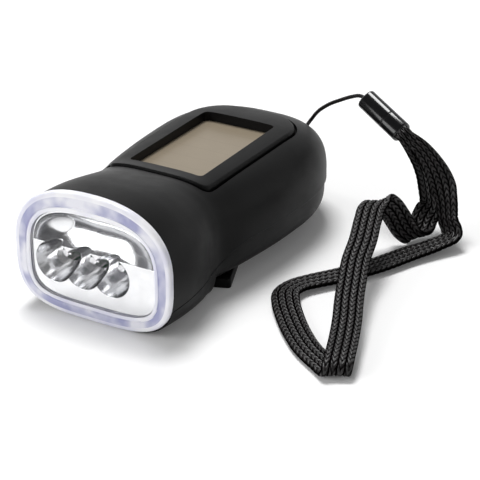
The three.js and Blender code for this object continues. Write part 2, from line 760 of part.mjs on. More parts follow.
function lowerShell() {
  const outer = housingSolid(SHELL_FRONT, 0, SKIRT_STEP);
  const walls = outer.subtract(innerHollow(SKIRT_STEP)).intersect(belowParting(0));
  const ground = block([-WIDTH, WIDTH], [-LENGTH, LENGTH], [-HEAD_HEIGHT, 0]);
  const bosses = CASE_SCREWS.map((screw) =>
    rodZ(SCREW_BOSS_RADIUS, BELLY_HEIGHT, PARTING_BODY - SEAT_GAP, ...screwPlace(screw)).intersect(outer),
  );
  const holes = CASE_SCREWS.map((screw) =>
    joined(
      rodZ(SCREW_RADIUS + SEAT_GAP, -OVERRUN, HEAD_HEIGHT, ...screwPlace(screw)),
      rodZ(SCREW_HEAD_RADIUS + SEAT_GAP, -OVERRUN, BELLY_HEIGHT + SCREW_SEAT, ...screwPlace(screw)),
    ),
  );
  const posts = platePosts().map(([x, y, low]) => rodZ(POST_RADIUS, low, PLATE_LOW - FIT_GAP, x, y));
  const axleBosses = [FIRST, SECOND, ROTOR].map((p) =>
    rodZ(AXLE_BOSS_RADIUS, BELLY_HEIGHT + WALL / 2, FLOOR + AXLE_BOSS_HEIGHT, p.x, p.y),
  );
  const axleHoles = [FIRST, SECOND, ROTOR].map((p) =>
    rodZ(AXLE_RADIUS + RUNNING_GAP, BELLY_HEIGHT + WALL / 2, HEAD_HEIGHT, p.x, p.y),
  );
  const bearing = rodZ(CRANK_SHAFT_RADIUS + BEARING_WALL, BELLY_HEIGHT, FLOOR + AXLE_BOSS_HEIGHT, HUB.x, HUB.y);
  const bore = rodZ(CRANK_SHAFT_RADIUS + RUNNING_GAP, 0, HEAD_HEIGHT, HUB.x, HUB.y, FINE_SIDES);
  const added = joined(walls, boardRib(outer), switchPost(), bearing, ...bosses, ...posts, ...axleBosses);
  return cutBy(added, ground, lensSocket(), boardSlot(), bore, ...holes, ...axleHoles, ...plateScrewPilots());
}

// Place of a case screw, whose boss stands just inside the wall
function screwPlace({ side, from }) {
  const inset = WALL + SCREW_BOSS_GAP + SCREW_BOSS_RADIUS;
  return [side * sectionAt(from, inset, 0).half, along(from)];
}

function screwTip() {
  return BELLY_HEIGHT + SCREW_SEAT + SCREW_LENGTH;
}

// Posts on the floor under the gear plate: side, place along the torch and lowest point
function platePosts() {
  const footLow = bottomAt(PLATE_POSTS.front) + WALL / 2;
  const bellyLow = bottomAt(PLATE_POSTS.back) + WALL / 2;
  return [
    [-PLATE_POSTS.side, along(PLATE_POSTS.front), footLow],
    [PLATE_POSTS.side, along(PLATE_POSTS.front), footLow],
    [0, along(PLATE_POSTS.back), bellyLow],
  ];
}

function plateScrewPilots() {
  return platePosts().map(([x, y]) =>
    rodZ(SCREW_RADIUS + FIT_GAP, PLATE_LOW - SCREW_LENGTH / 2 - FIT_GAP, HEAD_HEIGHT, x, y),
  );
}

// Rib on the floor that grips the diode board's lower edge
function boardRib(outer) {
  const middle = along(LED_BOARD_FROM_LENS + LED_BOARD_THICKNESS / 2);
  const high = CUP_HEIGHT - LED_BOARD_HEIGHT / 2 + BOARD_RIB_GRIP;
  const rib = block(
    [CUP_GROUP_SHIFT - BOARD_RIB_WIDTH / 2, CUP_GROUP_SHIFT + BOARD_RIB_WIDTH / 2],
    [middle - BOARD_RIB_THICKNESS / 2, middle + BOARD_RIB_THICKNESS / 2],
    [0, high],
  );
  return rib.intersect(outer);
}

function boardSlot() {
  const middle = along(LED_BOARD_FROM_LENS + LED_BOARD_THICKNESS / 2);
  const half = LED_BOARD_THICKNESS / 2 + FIT_GAP;
  const low = CUP_HEIGHT - LED_BOARD_HEIGHT / 2 - FIT_GAP;
  const side = BOARD_RIB_WIDTH / 2 + FIT_GAP;
  const across = [CUP_GROUP_SHIFT - side, CUP_GROUP_SHIFT + side];
  return block(across, [middle - half, middle + half], [low, low + LED_BOARD_HEIGHT]);
}

function switchPost() {
  const [low, high] = switchSpan();
  const half = SWITCH_BODY_SIZE / 2;
  const y = along(SWITCH_FROM_LENS);
  const top = SWITCH_HEIGHT - half - FIT_GAP;
  return block([low, high], [y - half, y + half], [BELLY_HEIGHT + WALL / 2, top]);
}

// Where the switch body starts and ends across the torch
function switchSpan() {
  const start = -FLANK_INNER + SEAT_GAP + BUTTON_FLANGE_THICKNESS + BUTTON_TRAVEL + SEAT_GAP;
  return [start, start + SWITCH_BODY_DEPTH];
}

// Hole in the tail that the cord passes through
function eyeHole() {
  const [x, , z] = CORD_ROUTE[0];
  const low = LENGTH - WALL * OVERRUN;
  return turnedY(span(CORD_RADIUS + SEAT_GAP, along(low), along(LENGTH)), x, z, ROD_SIDES);
}

// Solar bezel and panel

function solarBezel() {
  const high = HEAD_HEIGHT + OVERRUN;
  const raised = housingSolid(0, -BEZEL_RISE, 0);
  const lowered = housingSolid(0, -BEZEL_RISE + BEZEL_EDGE, 0);
  const whole = barZ(bezelOutline(0), LEDGE_TOP + FIT_GAP, high).intersect(lowered);
  const crown = barZ(bezelOutline(-BEZEL_EDGE), LEDGE_TOP + FIT_GAP, high).intersect(raised);
  const opening = barZ(windowOutline(0), 0, high);
  const pocket = barZ(windowOutline(PANEL_MARGIN + FIT_GAP), 0, PANEL_TOP + FIT_GAP);
  return cutBy(joined(whole, crown), opening, pocket);
}

function solarPanel() {
  return barZ(windowOutline(PANEL_MARGIN), PANEL_BOTTOM, PANEL_TOP);
}

// Lens, reflector and diodes

function lens() {
  const spigotEnd = LENS_DEPTH + SPIGOT_DEPTH;
  const body = lensSolid([0, LENS_EDGE], [LENS_EDGE, 0], [LENS_DEPTH, 0]);
  const spigot = lensSolid([LENS_DEPTH - LENS_EDGE, WALL + SEAT_GAP], [spigotEnd, WALL + SEAT_GAP]);
  const hollow = lensSolid([LENS_PLATE, LENS_RIM], [spigotEnd + OVERRUN, LENS_RIM]);
  return joined(body, spigot).subtract(hollow);
}

function cupPlaces() {
  return [-1, 0, 1].map((side) => CUP_GROUP_SHIFT + side * CUP_SPACING);
}

const REFLECTOR_FACE = LENS_PLATE + SEAT_GAP;

function cups(grow, start) {
  const face = along(REFLECTOR_FACE + start);
  const end = along(REFLECTOR_FACE + CUP_DEPTH);
  const wide = CUP_RADIUS + grow;
  const throat = CUP_THROAT + grow;
  const profile = [
    [0, face],
    [wide, face],
    [throat, end],
    [0, end],
  ];
  return joined(...cupPlaces().map((x) => turnedY(profile, x, CUP_HEIGHT, FINE_SIDES)));
}

// Dome above the cups: half an ellipsoid that opens at the reflector's face
function scoop(grow) {
  const ball = closed(new THREE.SphereGeometry(1, FINE_SIDES, FINE_SIDES / 2));
  const sized = ball.scale([SCOOP_HALF_WIDTH + grow, SCOOP_DEPTH + grow, SCOOP_HEIGHT + grow]);
  const above = block([-WIDTH, WIDTH], [-LENGTH, LENGTH], [-grow, HEAD_HEIGHT]);
  return sized.intersect(above).translate([0, along(REFLECTOR_FACE), SCOOP_BASE]);
}

function reflector() {
  const flangeEnd = REFLECTOR_FACE + REFLECTOR_FLANGE;
  const inset = LENS_RIM + FIT_GAP;
  const flange = lensSolid([REFLECTOR_FACE, inset], [flangeEnd, inset]);
  const bound = lensSolid([REFLECTOR_FACE, inset], [REFLECTOR_FACE + CUP_DEPTH + OVERRUN, inset]);
  const outside = joined(flange, cups(REFLECTOR_WALL, 0), scoop(REFLECTOR_WALL)).intersect(bound);
  const throats = cupPlaces().map((x) =>
    turnedY(
      span(CUP_THROAT, along(REFLECTOR_FACE + REFLECTOR_FLANGE), along(REFLECTOR_FACE + CUP_DEPTH + OVERRUN)),
      x,
      CUP_HEIGHT,
      FINE_SIDES,
    ),
  );
  return cutBy(outside, cups(0, 0), scoop(0), ...throats);
}

function led(x) {
  const back = along(LED_BOARD_FROM_LENS) - FIT_GAP;
  const tip = back - LED_LENGTH;
  const dome = Array.from({ length: LED_DOME_STEPS + 1 }, (_, i) => {
    const angle = (i / LED_DOME_STEPS) * (Math.PI / 2);
    return [LED_RADIUS * Math.sin(angle), tip + LED_RADIUS * (1 - Math.cos(angle))];
  });
  const profile = [
    ...dome,
    [LED_RADIUS, back - LED_FLANGE],
    [LED_FLANGE_RADIUS, back - LED_FLANGE],
    [LED_FLANGE_RADIUS, back],
    [0, back],
  ];
  return turnedY(profile, x, CUP_HEIGHT, ROD_SIDES);
}

function ledBoard() {
  const shape = roundedBox(LED_BOARD_WIDTH / 2, LED_BOARD_HEIGHT / 2, WALL / 2, CUP_GROUP_SHIFT, CUP_HEIGHT);
  return barY(shape, along(LED_BOARD_FROM_LENS), along(LED_BOARD_FROM_LENS + LED_BOARD_THICKNESS));
}

// Gear train

// Outline of a spur gear with its first tooth at a turn
function gearOutline(teeth, turn) {
  const pitch = pitchRadius(teeth);
  const pressure = THREE.MathUtils.degToRad(PRESSURE_ANGLE);
  const base = pitch * Math.cos(pressure);
  const tip = pitch + ADDENDUM_SHARE * MODULE;
  const root = pitch - DEDENDUM_SHARE * MODULE;
  const involute = (radius) => {
    const angle = Math.acos(Math.min(base / radius, 1));
    return Math.tan(angle) - angle;
  };
  const halfAtPitch = (Math.PI * MODULE - BACKLASH) / (4 * pitch);
  const half = (radius) => halfAtPitch + involute(pitch) - involute(Math.max(radius, base));
  const undercut = base - root > BACKLASH;
  const flank = undercut ? [root, base, pitch, tip] : [root, tip];
  const points = [];
  for (let tooth = 0; tooth < teeth; tooth += 1) {
    const centre = turn + (tooth / teeth) * Math.PI * 2;
    flank.forEach((radius) => points.push([radius, centre - half(radius)]));
    [...flank].reverse().forEach((radius) => points.push([radius, centre + half(radius)]));
  }
  return new THREE.Shape(points.map(([r, a]) => new THREE.Vector2(r * Math.cos(a), r * Math.sin(a))));
}

// Turn of a gear that meshes with one already turned, lying at a direction from it
function meshTurn(turn, teeth, degrees, otherTeeth) {
  const direction = THREE.MathUtils.degToRad(degrees);
  return direction + Math.PI + Math.PI / otherTeeth - ((turn - direction) * teeth) / otherTeeth;
}

function gear(teeth, turn, low, high, place) {
  return barZ(gearOutline(teeth, turn), low, high).translate([place.x, place.y, 0]);
}

const FIRST_TURN = meshTurn(0, CRANK_WHEEL_TEETH, FIRST_DIRECTION, FIRST_PINION_TEETH);
const SECOND_TURN = meshTurn(FIRST_TURN, FIRST_WHEEL_TEETH, SECOND_DIRECTION, SECOND_PINION_TEETH);
const ROTOR_TURN = meshTurn(SECOND_TURN, SECOND_WHEEL_TEETH, ROTOR_DIRECTION, ROTOR_PINION_TEETH);

function crankWheel() {
  const low = levelBase(0);
  const wheel = gear(CRANK_WHEEL_TEETH, 0, low, low + GEAR_THICKNESS, HUB);
  const bore = rodZ(CRANK_SHAFT_RADIUS + FIT_GAP, 0, HEAD_HEIGHT, HUB.x, HUB.y, FINE_SIDES);
  return wheel.subtract(bore);
}

// Wheel with the smaller pinion of the level below under it, on its axle
function compoundGear(level, wheelTeeth, pinionTeeth, turn, place) {
  const low = levelBase(level);
  const pinion = gear(pinionTeeth, turn, low - LEVEL_PITCH, low + GEAR_THICKNESS / 2, place);
  const wheel = gear(wheelTeeth, turn, low, low + GEAR_THICKNESS, place);
  const bore = rodZ(AXLE_RADIUS + RUNNING_GAP, 0, HEAD_HEIGHT, place.x, place.y);
  return joined(pinion, wheel).subtract(bore);
}

function axle(place, high) {
  return rodZ(AXLE_RADIUS, BELLY_HEIGHT + WALL / 2 + FIT_GAP, high, place.x, place.y);
}

function gearPlate() {
  const middle = along((PLATE_FRONT + PLATE_BACK) / 2);
  const half = (PLATE_BACK - PLATE_FRONT) / 2;
  const sheet = barZ(roundedBox(PLATE_HALF_WIDTH, half, PLATE_CORNER, 0, middle), PLATE_LOW, PLATE_HIGH);
  const tongueMiddle = along((PLATE_BACK + PLATE_TONGUE_BACK) / 2) - PLATE_CORNER;
  const tongueHalf = (PLATE_TONGUE_BACK - PLATE_BACK) / 2 + PLATE_CORNER;
  const tongueShape = roundedBox(PLATE_TONGUE_HALF_WIDTH, tongueHalf, PLATE_CORNER, 0, tongueMiddle);
  const tongue = barZ(tongueShape, PLATE_LOW, PLATE_HIGH);
  const standoffs = boardCorners().map(([x, y]) => rodZ(STANDOFF_RADIUS, PLATE_LOW, BOARD_LOW - FIT_GAP, x, y));
  const screwHoles = platePosts().map(([x, y]) => rodZ(SCREW_RADIUS + FIT_GAP, 0, HEAD_HEIGHT, x, y));
  const axleHoles = [FIRST, SECOND].map((p) => rodZ(AXLE_RADIUS + RUNNING_GAP, 0, HEAD_HEIGHT, p.x, p.y));
  const rotorHole = rodZ(ROTOR_HUB_RADIUS + SEAT_GAP, 0, HEAD_HEIGHT, ROTOR.x, ROTOR.y);
  const journal = rodZ(CRANK_JOURNAL_RADIUS + RUNNING_GAP, 0, HEAD_HEIGHT, HUB.x, HUB.y, FINE_SIDES);
  return cutBy(joined(sheet, tongue, ...standoffs), ...screwHoles, ...axleHoles, rotorHole, journal);
}

function boardCorners() {
  const x = BOARD_WIDTH / 2 - STANDOFF_RADIUS - WALL / 2;
  const front = along(BOARD_FRONT + STANDOFF_RADIUS + WALL / 2);
  const back = along(PLATE_BACK - STANDOFF_RADIUS - WALL);
  return [
    [-x, front],
    [x, front],
    [-x, back],
    [x, back],
  ];
}

// Generator

function rotorPinion() {
  const low = levelBase(LEVEL_COUNT - 1) - LEVEL_GAP / 2;
  const high = levelBase(LEVEL_COUNT) - LEVEL_GAP - SEAT_GAP;
  const teeth = gear(ROTOR_PINION_TEETH, ROTOR_TURN, low, high, ROTOR);
  const hub = rodZ(ROTOR_HUB_RADIUS, high - GEAR_THICKNESS, magnetLow() + MAGNET_HEIGHT, ROTOR.x, ROTOR.y);
  const bore = rodZ(AXLE_RADIUS + RUNNING_GAP, 0, HEAD_HEIGHT, ROTOR.x, ROTOR.y);
  return joined(teeth, hub).subtract(bore);
}

function magnetLow() {
  return PLATE_HIGH + SEAT_GAP;
}

function magnetRing() {
  const ring = rodZ(MAGNET_RADIUS, magnetLow(), magnetLow() + MAGNET_HEIGHT, ROTOR.x, ROTOR.y, FINE_SIDES);
  const bore = rodZ(ROTOR_HUB_RADIUS + FIT_GAP, 0, HEAD_HEIGHT, ROTOR.x, ROTOR.y);
  return ring.subtract(bore);
}

function statorCoil() {
  const low = PLATE_HIGH + FIT_GAP;
  const ring = rodZ(STATOR_OUTER, low, low + STATOR_HEIGHT, ROTOR.x, ROTOR.y, FINE_SIDES);
  const bore = rodZ(STATOR_INNER, 0, HEAD_HEIGHT, ROTOR.x, ROTOR.y, FINE_SIDES);
  return ring.subtract(bore);
}

function canRoof() {
  return PLATE_HIGH + FIT_GAP + STATOR_HEIGHT + SEAT_GAP;
}

function generatorCan() {
  const inner = STATOR_OUTER + FIT_GAP;
  const outer = inner + CAN_WALL;
  const low = PLATE_HIGH + FIT_GAP;
  const shell = rodZ(outer, low, canRoof() + CAN_WALL, ROTOR.x, ROTOR.y, FINE_SIDES);
  const hollow = rodZ(inner, 0, canRoof(), ROTOR.x, ROTOR.y, FINE_SIDES);
  const hole = rodZ(AXLE_RADIUS + RUNNING_GAP, 0, HEAD_HEIGHT, ROTOR.x, ROTOR.y);
  return cutBy(shell, hollow, hole);
}

// Crank

function crankShaft() {
  const shoulder = levelBase(0) + GEAR_THICKNESS + LEVEL_GAP;
  const profile = [
    [0, CRANK_SHAFT_END],
    [CRANK_SHAFT_RADIUS, CRANK_SHAFT_END],
    [CRANK_SHAFT_RADIUS, shoulder],
    [CRANK_JOURNAL_RADIUS, shoulder],
    [CRANK_JOURNAL_RADIUS, PLATE_HIGH + SEAT_GAP],
    [0, PLATE_HIGH + SEAT_GAP],
  ];
  const pilot = rodZ(SCREW_RADIUS + FIT_GAP, 0, SCREW_LENGTH / 2 + CRANK_SHAFT_END, HUB.x, HUB.y);
  return turnedZ(profile, HUB.x, HUB.y, FINE_SIDES).subtract(pilot);
}

// Arm drawn along +X from the hub and then turned to its place of rest
function inArmFrame(solid) {
  return solid.rotate([0, 0, -90 + CRANK_REST_TURN]).translate([HUB.x, HUB.y, 0]);
}

function crankArm() {
  const bar = roundedBox(CRANK_REACH / 2, CRANK_HALF_WIDTH, CRANK_CORNER, CRANK_REACH / 2, 0);
  const hub = rodZ(CRANK_HUB_RADIUS, 0, CRANK_THICKNESS, 0, 0, FINE_SIDES);
  const slotEnd = CRANK_REACH - KNOB_SLOT_END;
  const slot = roundedBox(KNOB_SLOT_LENGTH / 2, KNOB_SLOT_WIDTH / 2, CRANK_CORNER, slotEnd - KNOB_SLOT_LENGTH / 2, 0);
  const shaftBore = rodZ(CRANK_SHAFT_RADIUS + FIT_GAP, CRANK_SHAFT_END - FIT_GAP, HEAD_HEIGHT, 0, 0, FINE_SIDES);
  const screwBore = rodZ(SCREW_RADIUS + FIT_GAP, -OVERRUN, HEAD_HEIGHT, 0, 0);
  const headTop = CRANK_SCREW_DEPTH + SCREW_HEAD_HEIGHT + FIT_GAP;
  const headBore = rodZ(SCREW_HEAD_RADIUS + FIT_GAP, -OVERRUN, headTop, 0, 0);
  const pinReach = KNOB_SLOT_WIDTH / 2 + KNOB_PIN_OVERLAP + FIT_GAP;
  const pinBore = turnedY(span(KNOB_PIN_RADIUS + FIT_GAP, -pinReach, pinReach), knobPinPlace(), CRANK_THICKNESS / 2, ROD_SIDES);
  const body = joined(barZ(bar, 0, CRANK_THICKNESS), hub);
  return inArmFrame(cutBy(body, barZ(slot, -OVERRUN, HEAD_HEIGHT), shaftBore, screwBore, headBore, pinBore));
}

function knobPinPlace() {
  return CRANK_REACH - KNOB_PIN_INSET;
}

function knobPin() {
  const reach = KNOB_SLOT_WIDTH / 2 + KNOB_PIN_OVERLAP;
  return inArmFrame(turnedY(span(KNOB_PIN_RADIUS, -reach, reach), knobPinPlace(), CRANK_THICKNESS / 2, ROD_SIDES));
}

// Folding finger grip that lies in the arm's slot
function crankKnob() {
  const low = (CRANK_THICKNESS - KNOB_THICKNESS) / 2;
  const halfWidth = KNOB_SLOT_WIDTH / 2 - SEAT_GAP;
  const start = CRANK_REACH - KNOB_SLOT_END - KNOB_SLOT_LENGTH + SEAT_GAP;
  const end = knobPinPlace() - KNOB_THICKNESS / 2 - SEAT_GAP;
  const gripShape = roundedBox((end - start) / 2, halfWidth, halfWidth, (start + end) / 2, 0);
  const grip = barZ(gripShape, low, low + KNOB_THICKNESS);
  const half = KNOB_NECK_WIDTH / 2;
  const heel = turnedY(span(KNOB_THICKNESS / 2, -half, half), knobPinPlace(), CRANK_THICKNESS / 2, ROD_SIDES);
  const neck = block([end - halfWidth, knobPinPlace()], [-half, half], [low, low + KNOB_THICKNESS]);
  const reach = KNOB_SLOT_WIDTH;
  const bore = turnedY(span(KNOB_PIN_RADIUS + RUNNING_GAP, -reach, reach), knobPinPlace(), CRANK_THICKNESS / 2, ROD_SIDES);
  return inArmFrame(cutBy(joined(grip, heel, neck), bore));
}

// Switch

function switchButton() {
  const outer = -FLANK_OUTER - BUTTON_PROUD;
  const inner = -FLANK_INNER + SEAT_GAP;
  const cap = buttonHole(0, outer, inner + BUTTON_FLANGE_THICKNESS);
  const flange = buttonHole(BUTTON_FLANGE, inner, inner + BUTTON_FLANGE_THICKNESS);
  return joined(cap, flange);
}

function switchPlunger() {
  const start = -FLANK_INNER + SEAT_GAP + BUTTON_FLANGE_THICKNESS + FIT_GAP;
  const end = start + BUTTON_TRAVEL + PLUNGER_GRIP_SHARE * SWITCH_BODY_DEPTH;
  return turnedX(span(PLUNGER_RADIUS, start, end), along(SWITCH_FROM_LENS), SWITCH_HEIGHT, ROD_SIDES);
}

function switchBody() {
  const [low, high] = switchSpan();
  const half = SWITCH_BODY_SIZE / 2;
  const y = along(SWITCH_FROM_LENS);
  const box = block([low, high], [y - half, y + half], [SWITCH_HEIGHT - half, SWITCH_HEIGHT + half]);
  const bore = turnedX(
    span(PLUNGER_RADIUS + FIT_GAP, low - OVERRUN, high - WALL / 2),
    along(SWITCH_FROM_LENS),
    SWITCH_HEIGHT,
    ROD_SIDES,
  );
  return box.subtract(bore);
}

// Screws: a turned pan head under a plain shank, with the head below or above

function screw(head, tip, x, y) {
  const way = Math.sign(tip - head);
  const under = head + way * SCREW_HEAD_HEIGHT;
  const profile = [
    [0, head],
    [SCREW_HEAD_RADIUS * SCREW_DOME_SHARE, head],
    [SCREW_HEAD_RADIUS, head + (way * SCREW_HEAD_HEIGHT) / 2],
    [SCREW_HEAD_RADIUS, under],
    [SCREW_RADIUS, under],
    [SCREW_RADIUS, tip - way * SCREW_RADIUS],
    [0, tip],
  ];
  return turnedZ(profile, x, y, ROD_SIDES);
}

// Main board and its cell

function mainBoard() {
  const middle = along(BOARD_FRONT + BOARD_LENGTH / 2);
  return barZ(roundedBox(BOARD_WIDTH / 2, BOARD_LENGTH / 2, WALL / 2, 0, middle), BOARD_LOW, BOARD_HIGH);
}

function cellPlace() {
  return [0, along(BOARD_FRONT + BOARD_LENGTH - CELL_RADIUS - HOLDER_WALL - FIT_GAP - WALL / 2)];
}

function cellHolder() {
  const [x, y] = cellPlace();
  const low = BOARD_HIGH + FIT_GAP;
  const outer = CELL_RADIUS + FIT_GAP + HOLDER_WALL;
  const ring = rodZ(outer, low, low + HOLDER_HEIGHT, x, y, FINE_SIDES);
  return ring.subtract(rodZ(CELL_RADIUS + FIT_GAP, low + HOLDER_WALL, HEAD_HEIGHT, x, y, FINE_SIDES));
}

function coinCell() {
  const [x, y] = cellPlace();
  const low = BOARD_HIGH + FIT_GAP + HOLDER_WALL + FIT_GAP;
  return rodZ(CELL_RADIUS, low, low + CELL_THICKNESS, x, y, FINE_SIDES);
}

// Cord, bead and strap

// Solid drawn from the foot of the tail's end, moved there
function atTail(solid) {
  return solid.translate([0, along(LENGTH), 0]);
}

function lanyardCord() {
  const curve = new THREE.CatmullRomCurve3(CORD_ROUTE.map((row) => new THREE.Vector3(...row)));
  const corners = Array.from({ length: CORD_SIDES }, (_, i) => {
    const angle = (i / CORD_SIDES) * Math.PI * 2;
    return new THREE.Vector2(CORD_RADIUS * Math.cos(angle), CORD_RADIUS * Math.sin(angle));
  });
  const options = { steps: CORD_STEPS, bevelEnabled: false, extrudePath: curve };
  const tube = closed(new THREE.ExtrudeGeometry(new THREE.Shape(corners), options));
  const knot = closed(new THREE.SphereGeometry(KNOT_RADIUS, KNOT_SIDES, KNOT_SIDES));
  return atTail(joined(tube, knot.translate(CORD_ROUTE[0])));
}

// Ring of a flat section: its centre, two directions across it and its half sizes
function flatRing(centre, wide, thick, halfWide, halfThick, count) {
  return Array.from({ length: count }, (_, i) => {
    const angle = ((i + 1 / 2) / count) * Math.PI * 2;
    const round = (value) => Math.sign(value) * Math.sqrt(Math.abs(value));
    const point = centre.clone().addScaledVector(wide, halfWide * round(Math.cos(angle)));
    return point.addScaledVector(thick, halfThick * round(Math.sin(angle)));
  });
}

function lanyardBead() {
  const length = BEAD_START.distanceTo(BEAD_END);
  const axis = BEAD_END.clone().sub(BEAD_START).normalize();
  const thick = axis.clone().cross(BEAD_WIDE).normalize();
  const wide = thick.clone().cross(axis);
  const groove = length * BEAD_GROOVE_SHARE;
  const rings = [
    [0, BEAD_CORNER],
    [BEAD_CORNER, 0],
    [groove - BEAD_GROOVE, 0],
    [groove, BEAD_GROOVE],
    [groove + BEAD_GROOVE, 0],
    [length - BEAD_CORNER, 0],
    [length, BEAD_CORNER],
  ];
  const made = rings.map(([at, inset]) => {
    const centre = BEAD_START.clone().addScaledVector(axis, at);
    return flatRing(centre, wide, thick, BEAD_HALF_WIDTH - inset, BEAD_HALF_THICKNESS - inset, BEAD_SIDES);
  });
  return atTail(loft(made));
}

// Flat strap in one loop, narrower where its two ends lie together at the bead
function wristStrap() {
  const centres = new THREE.CatmullRomCurve3(STRAP_ROUTE.map(([x, y, z]) => new THREE.Vector3(x, y, z)));
  const widths = new THREE.CatmullRomCurve3(STRAP_ROUTE.map((row) => new THREE.Vector3(...row.slice(3))));
  const length = centres.getLength();
  const rings = Array.from({ length: STRAP_STEPS + 1 }, (_, i) => {
    const share = i / STRAP_STEPS;
    const t = centres.getUtoTmapping(share);
    const way = centres.getTangent(t);
    const thick = way.clone().cross(widths.getPoint(t)).normalize();
    const wide = thick.clone().cross(way);
    const spread = eased(Math.min(share, 1 - share) * length, 0, STRAP_NECK);
    const halfWide = STRAP_END_HALF_WIDTH + (STRAP_HALF_WIDTH - STRAP_END_HALF_WIDTH) * spread;
    return flatRing(centres.getPoint(t), wide, thick, halfWide, STRAP_HALF_THICKNESS, STRAP_SIDES);
  });
  return atTail(loft(rings));
}

// Scene graph

function material(colour, roughness, metalness, opacity = 1) {
  return new THREE.MeshStandardMaterial({
    color: new THREE.Color(...colour),
    roughness,
    metalness,
    opacity,
    transparent: opacity < 1,
  });
}

function piece(name, solid, look) {
  const source = solid.getMesh();
  const geometry = new THREE.BufferGeometry();
  geometry.setAttribute("position", new THREE.BufferAttribute(new Float32Array(source.vertProperties), 3));
  geometry.setIndex(new THREE.BufferAttribute(new Uint32Array(source.triVerts), 1));
  geometry.computeVertexNormals();
  const mesh = new THREE.Mesh(geometry, look);
  mesh.name = name;
  return mesh;
}

function group(name, ...children) {
  const made = new THREE.Group();
  made.name = name;
  made.add(...children);
  return made;
}

const BLACK = () => material([0.03, 0.03, 0.032], 0.45, 0);
const CLEAR = () => material([0.92, 0.93, 0.98], 0.05, 0, 0.35);
const CHROME = () => material([0.86, 0.88, 0.9], 0.08, 1);
const CELL_GLASS = () => material([0.34, 0.28, 0.21], 0.25, 0);
const GREEN_BOARD = () => material([0.05, 0.25, 0.1], 0.5, 0);
const WHITE_PLASTIC = () => material([0.85, 0.84, 0.8], 0.5, 0);
const STEEL = () => material([0.6, 0.61, 0.62], 0.3, 1);
const COPPER = () => material([0.6, 0.25, 0.1], 0.4, 1);
const MAGNET = () => material([0.12, 0.12, 0.13], 0.6, 0.2);
const BRAID = () => material([0.06, 0.055, 0.055], 0.8, 0);

function shells() {
  return group(
    "shells",
    piece("upper_shell", upperShell(), BLACK()),
    piece("lower_shell", lowerShell(), BLACK()),
    piece("solar_bezel", solarBezel(), BLACK()),
    piece("solar_panel", solarPanel(), CELL_GLASS()),
  );
}

function lightHead() {
  const names = ["led_left", "led_middle", "led_right"];
  return group(
    "light_head",
    piece("lens", lens(), CLEAR()),
    piece("reflector", reflector(), CHROME()),
    piece("led_board", ledBoard(), GREEN_BOARD()),
    ...cupPlaces().map((x, i) => piece(names[i], led(x), CLEAR())),
  );
}

function gearTrain() {
  const pinEnd = PLATE_HIGH + SEAT_GAP;
  const rotorEnd = canRoof() + CAN_WALL + SEAT_GAP;
  return group(
    "gear_train",
    piece("gear_plate", gearPlate(), BLACK()),
    piece("crank_wheel", crankWheel(), WHITE_PLASTIC()),
    piece("first_gear", compoundGear(1, FIRST_WHEEL_TEETH, FIRST_PINION_TEETH, FIRST_TURN, FIRST), WHITE_PLASTIC()),
    piece("second_gear", compoundGear(2, SECOND_WHEEL_TEETH, SECOND_PINION_TEETH, SECOND_TURN, SECOND), WHITE_PLASTIC()),
    piece("first_axle", axle(FIRST, pinEnd), STEEL()),
    piece("second_axle", axle(SECOND, pinEnd), STEEL()),
    piece("rotor_axle", axle(ROTOR, rotorEnd), STEEL()),
    piece("rotor_pinion", rotorPinion(), WHITE_PLASTIC()),
    piece("magnet_ring", magnetRing(), MAGNET()),
    piece("stator_coil", statorCoil(), COPPER()),
    piece("generator_can", generatorCan(), STEEL()),
  );
}

function crank() {
  return group(
    "crank",
    piece("crank_shaft", crankShaft(), STEEL()),
    piece("crank_arm", crankArm(), BLACK()),
    piece("crank_knob", crankKnob(), BLACK()),
    piece("knob_pin", knobPin(), STEEL()),
    piece("crank_screw", screw(CRANK_SCREW_DEPTH, SCREW_LENGTH / 2 + CRANK_SHAFT_END - FIT_GAP, HUB.x, HUB.y), STEEL()),
  );
}

function switchParts() {
  return group(
    "switch",
    piece("switch_button", switchButton(), BLACK()),
    piece("switch_plunger", switchPlunger(), WHITE_PLASTIC()),
    piece("switch_body", switchBody(), BLACK()),
  );
}

function electronics() {
  return group(
    "electronics",
    piece("main_board", mainBoard(), GREEN_BOARD()),
    piece("cell_holder", cellHolder(), BLACK()),
    piece("coin_cell", coinCell(), STEEL()),
  );
}

function fasteners() {
  const seat = BELLY_HEIGHT + SCREW_SEAT - FIT_GAP;
  const caseScrews = CASE_SCREWS.map((s) =>
    piece(s.name, screw(seat - SCREW_HEAD_HEIGHT, screwTip(), ...screwPlace(s)), STEEL()),
  );
  const head = PLATE_HIGH + FIT_GAP + SCREW_HEAD_HEIGHT;
  const names = ["plate_screw_left", "plate_screw_right", "plate_screw_back"];
  const plateScrews = platePosts().map(([x, y], i) =>
    piece(names[i], screw(head, PLATE_LOW - SCREW_LENGTH / 2, x, y), STEEL()),
  );
  return group("fasteners", ...caseScrews, ...plateScrews);
}

function lanyard() {
  return group(
    "lanyard",
    piece("lanyard_cord", lanyardCord(), BRAID()),
    piece("lanyard_bead", lanyardBead(), BLACK()),
    piece("wrist_strap", wristStrap(), BRAID()),
  );
}

const torch = group(
  "torch",
  shells(),
  lightHead(),
  gearTrain(),
  crank(),
  switchParts(),
  electronics(),
  fasteners(),
  lanyard(),
);

export default torch;
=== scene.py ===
"""Hand crank and solar torch with a wrist strap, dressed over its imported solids.

Shapes are in millimetres and become metres where a mesh is made; finishes, camera and
lights are in metres. +Z is up, the lens looks towards -Y and the tail lies towards +Y.
"""

import logging
import math
from dataclasses import dataclass, field, replace
from enum import Enum
from typing import Any, Callable, Optional, Sequence, Union

import bmesh
import bpy
import numpy as np
from mathutils import Matrix, Vector


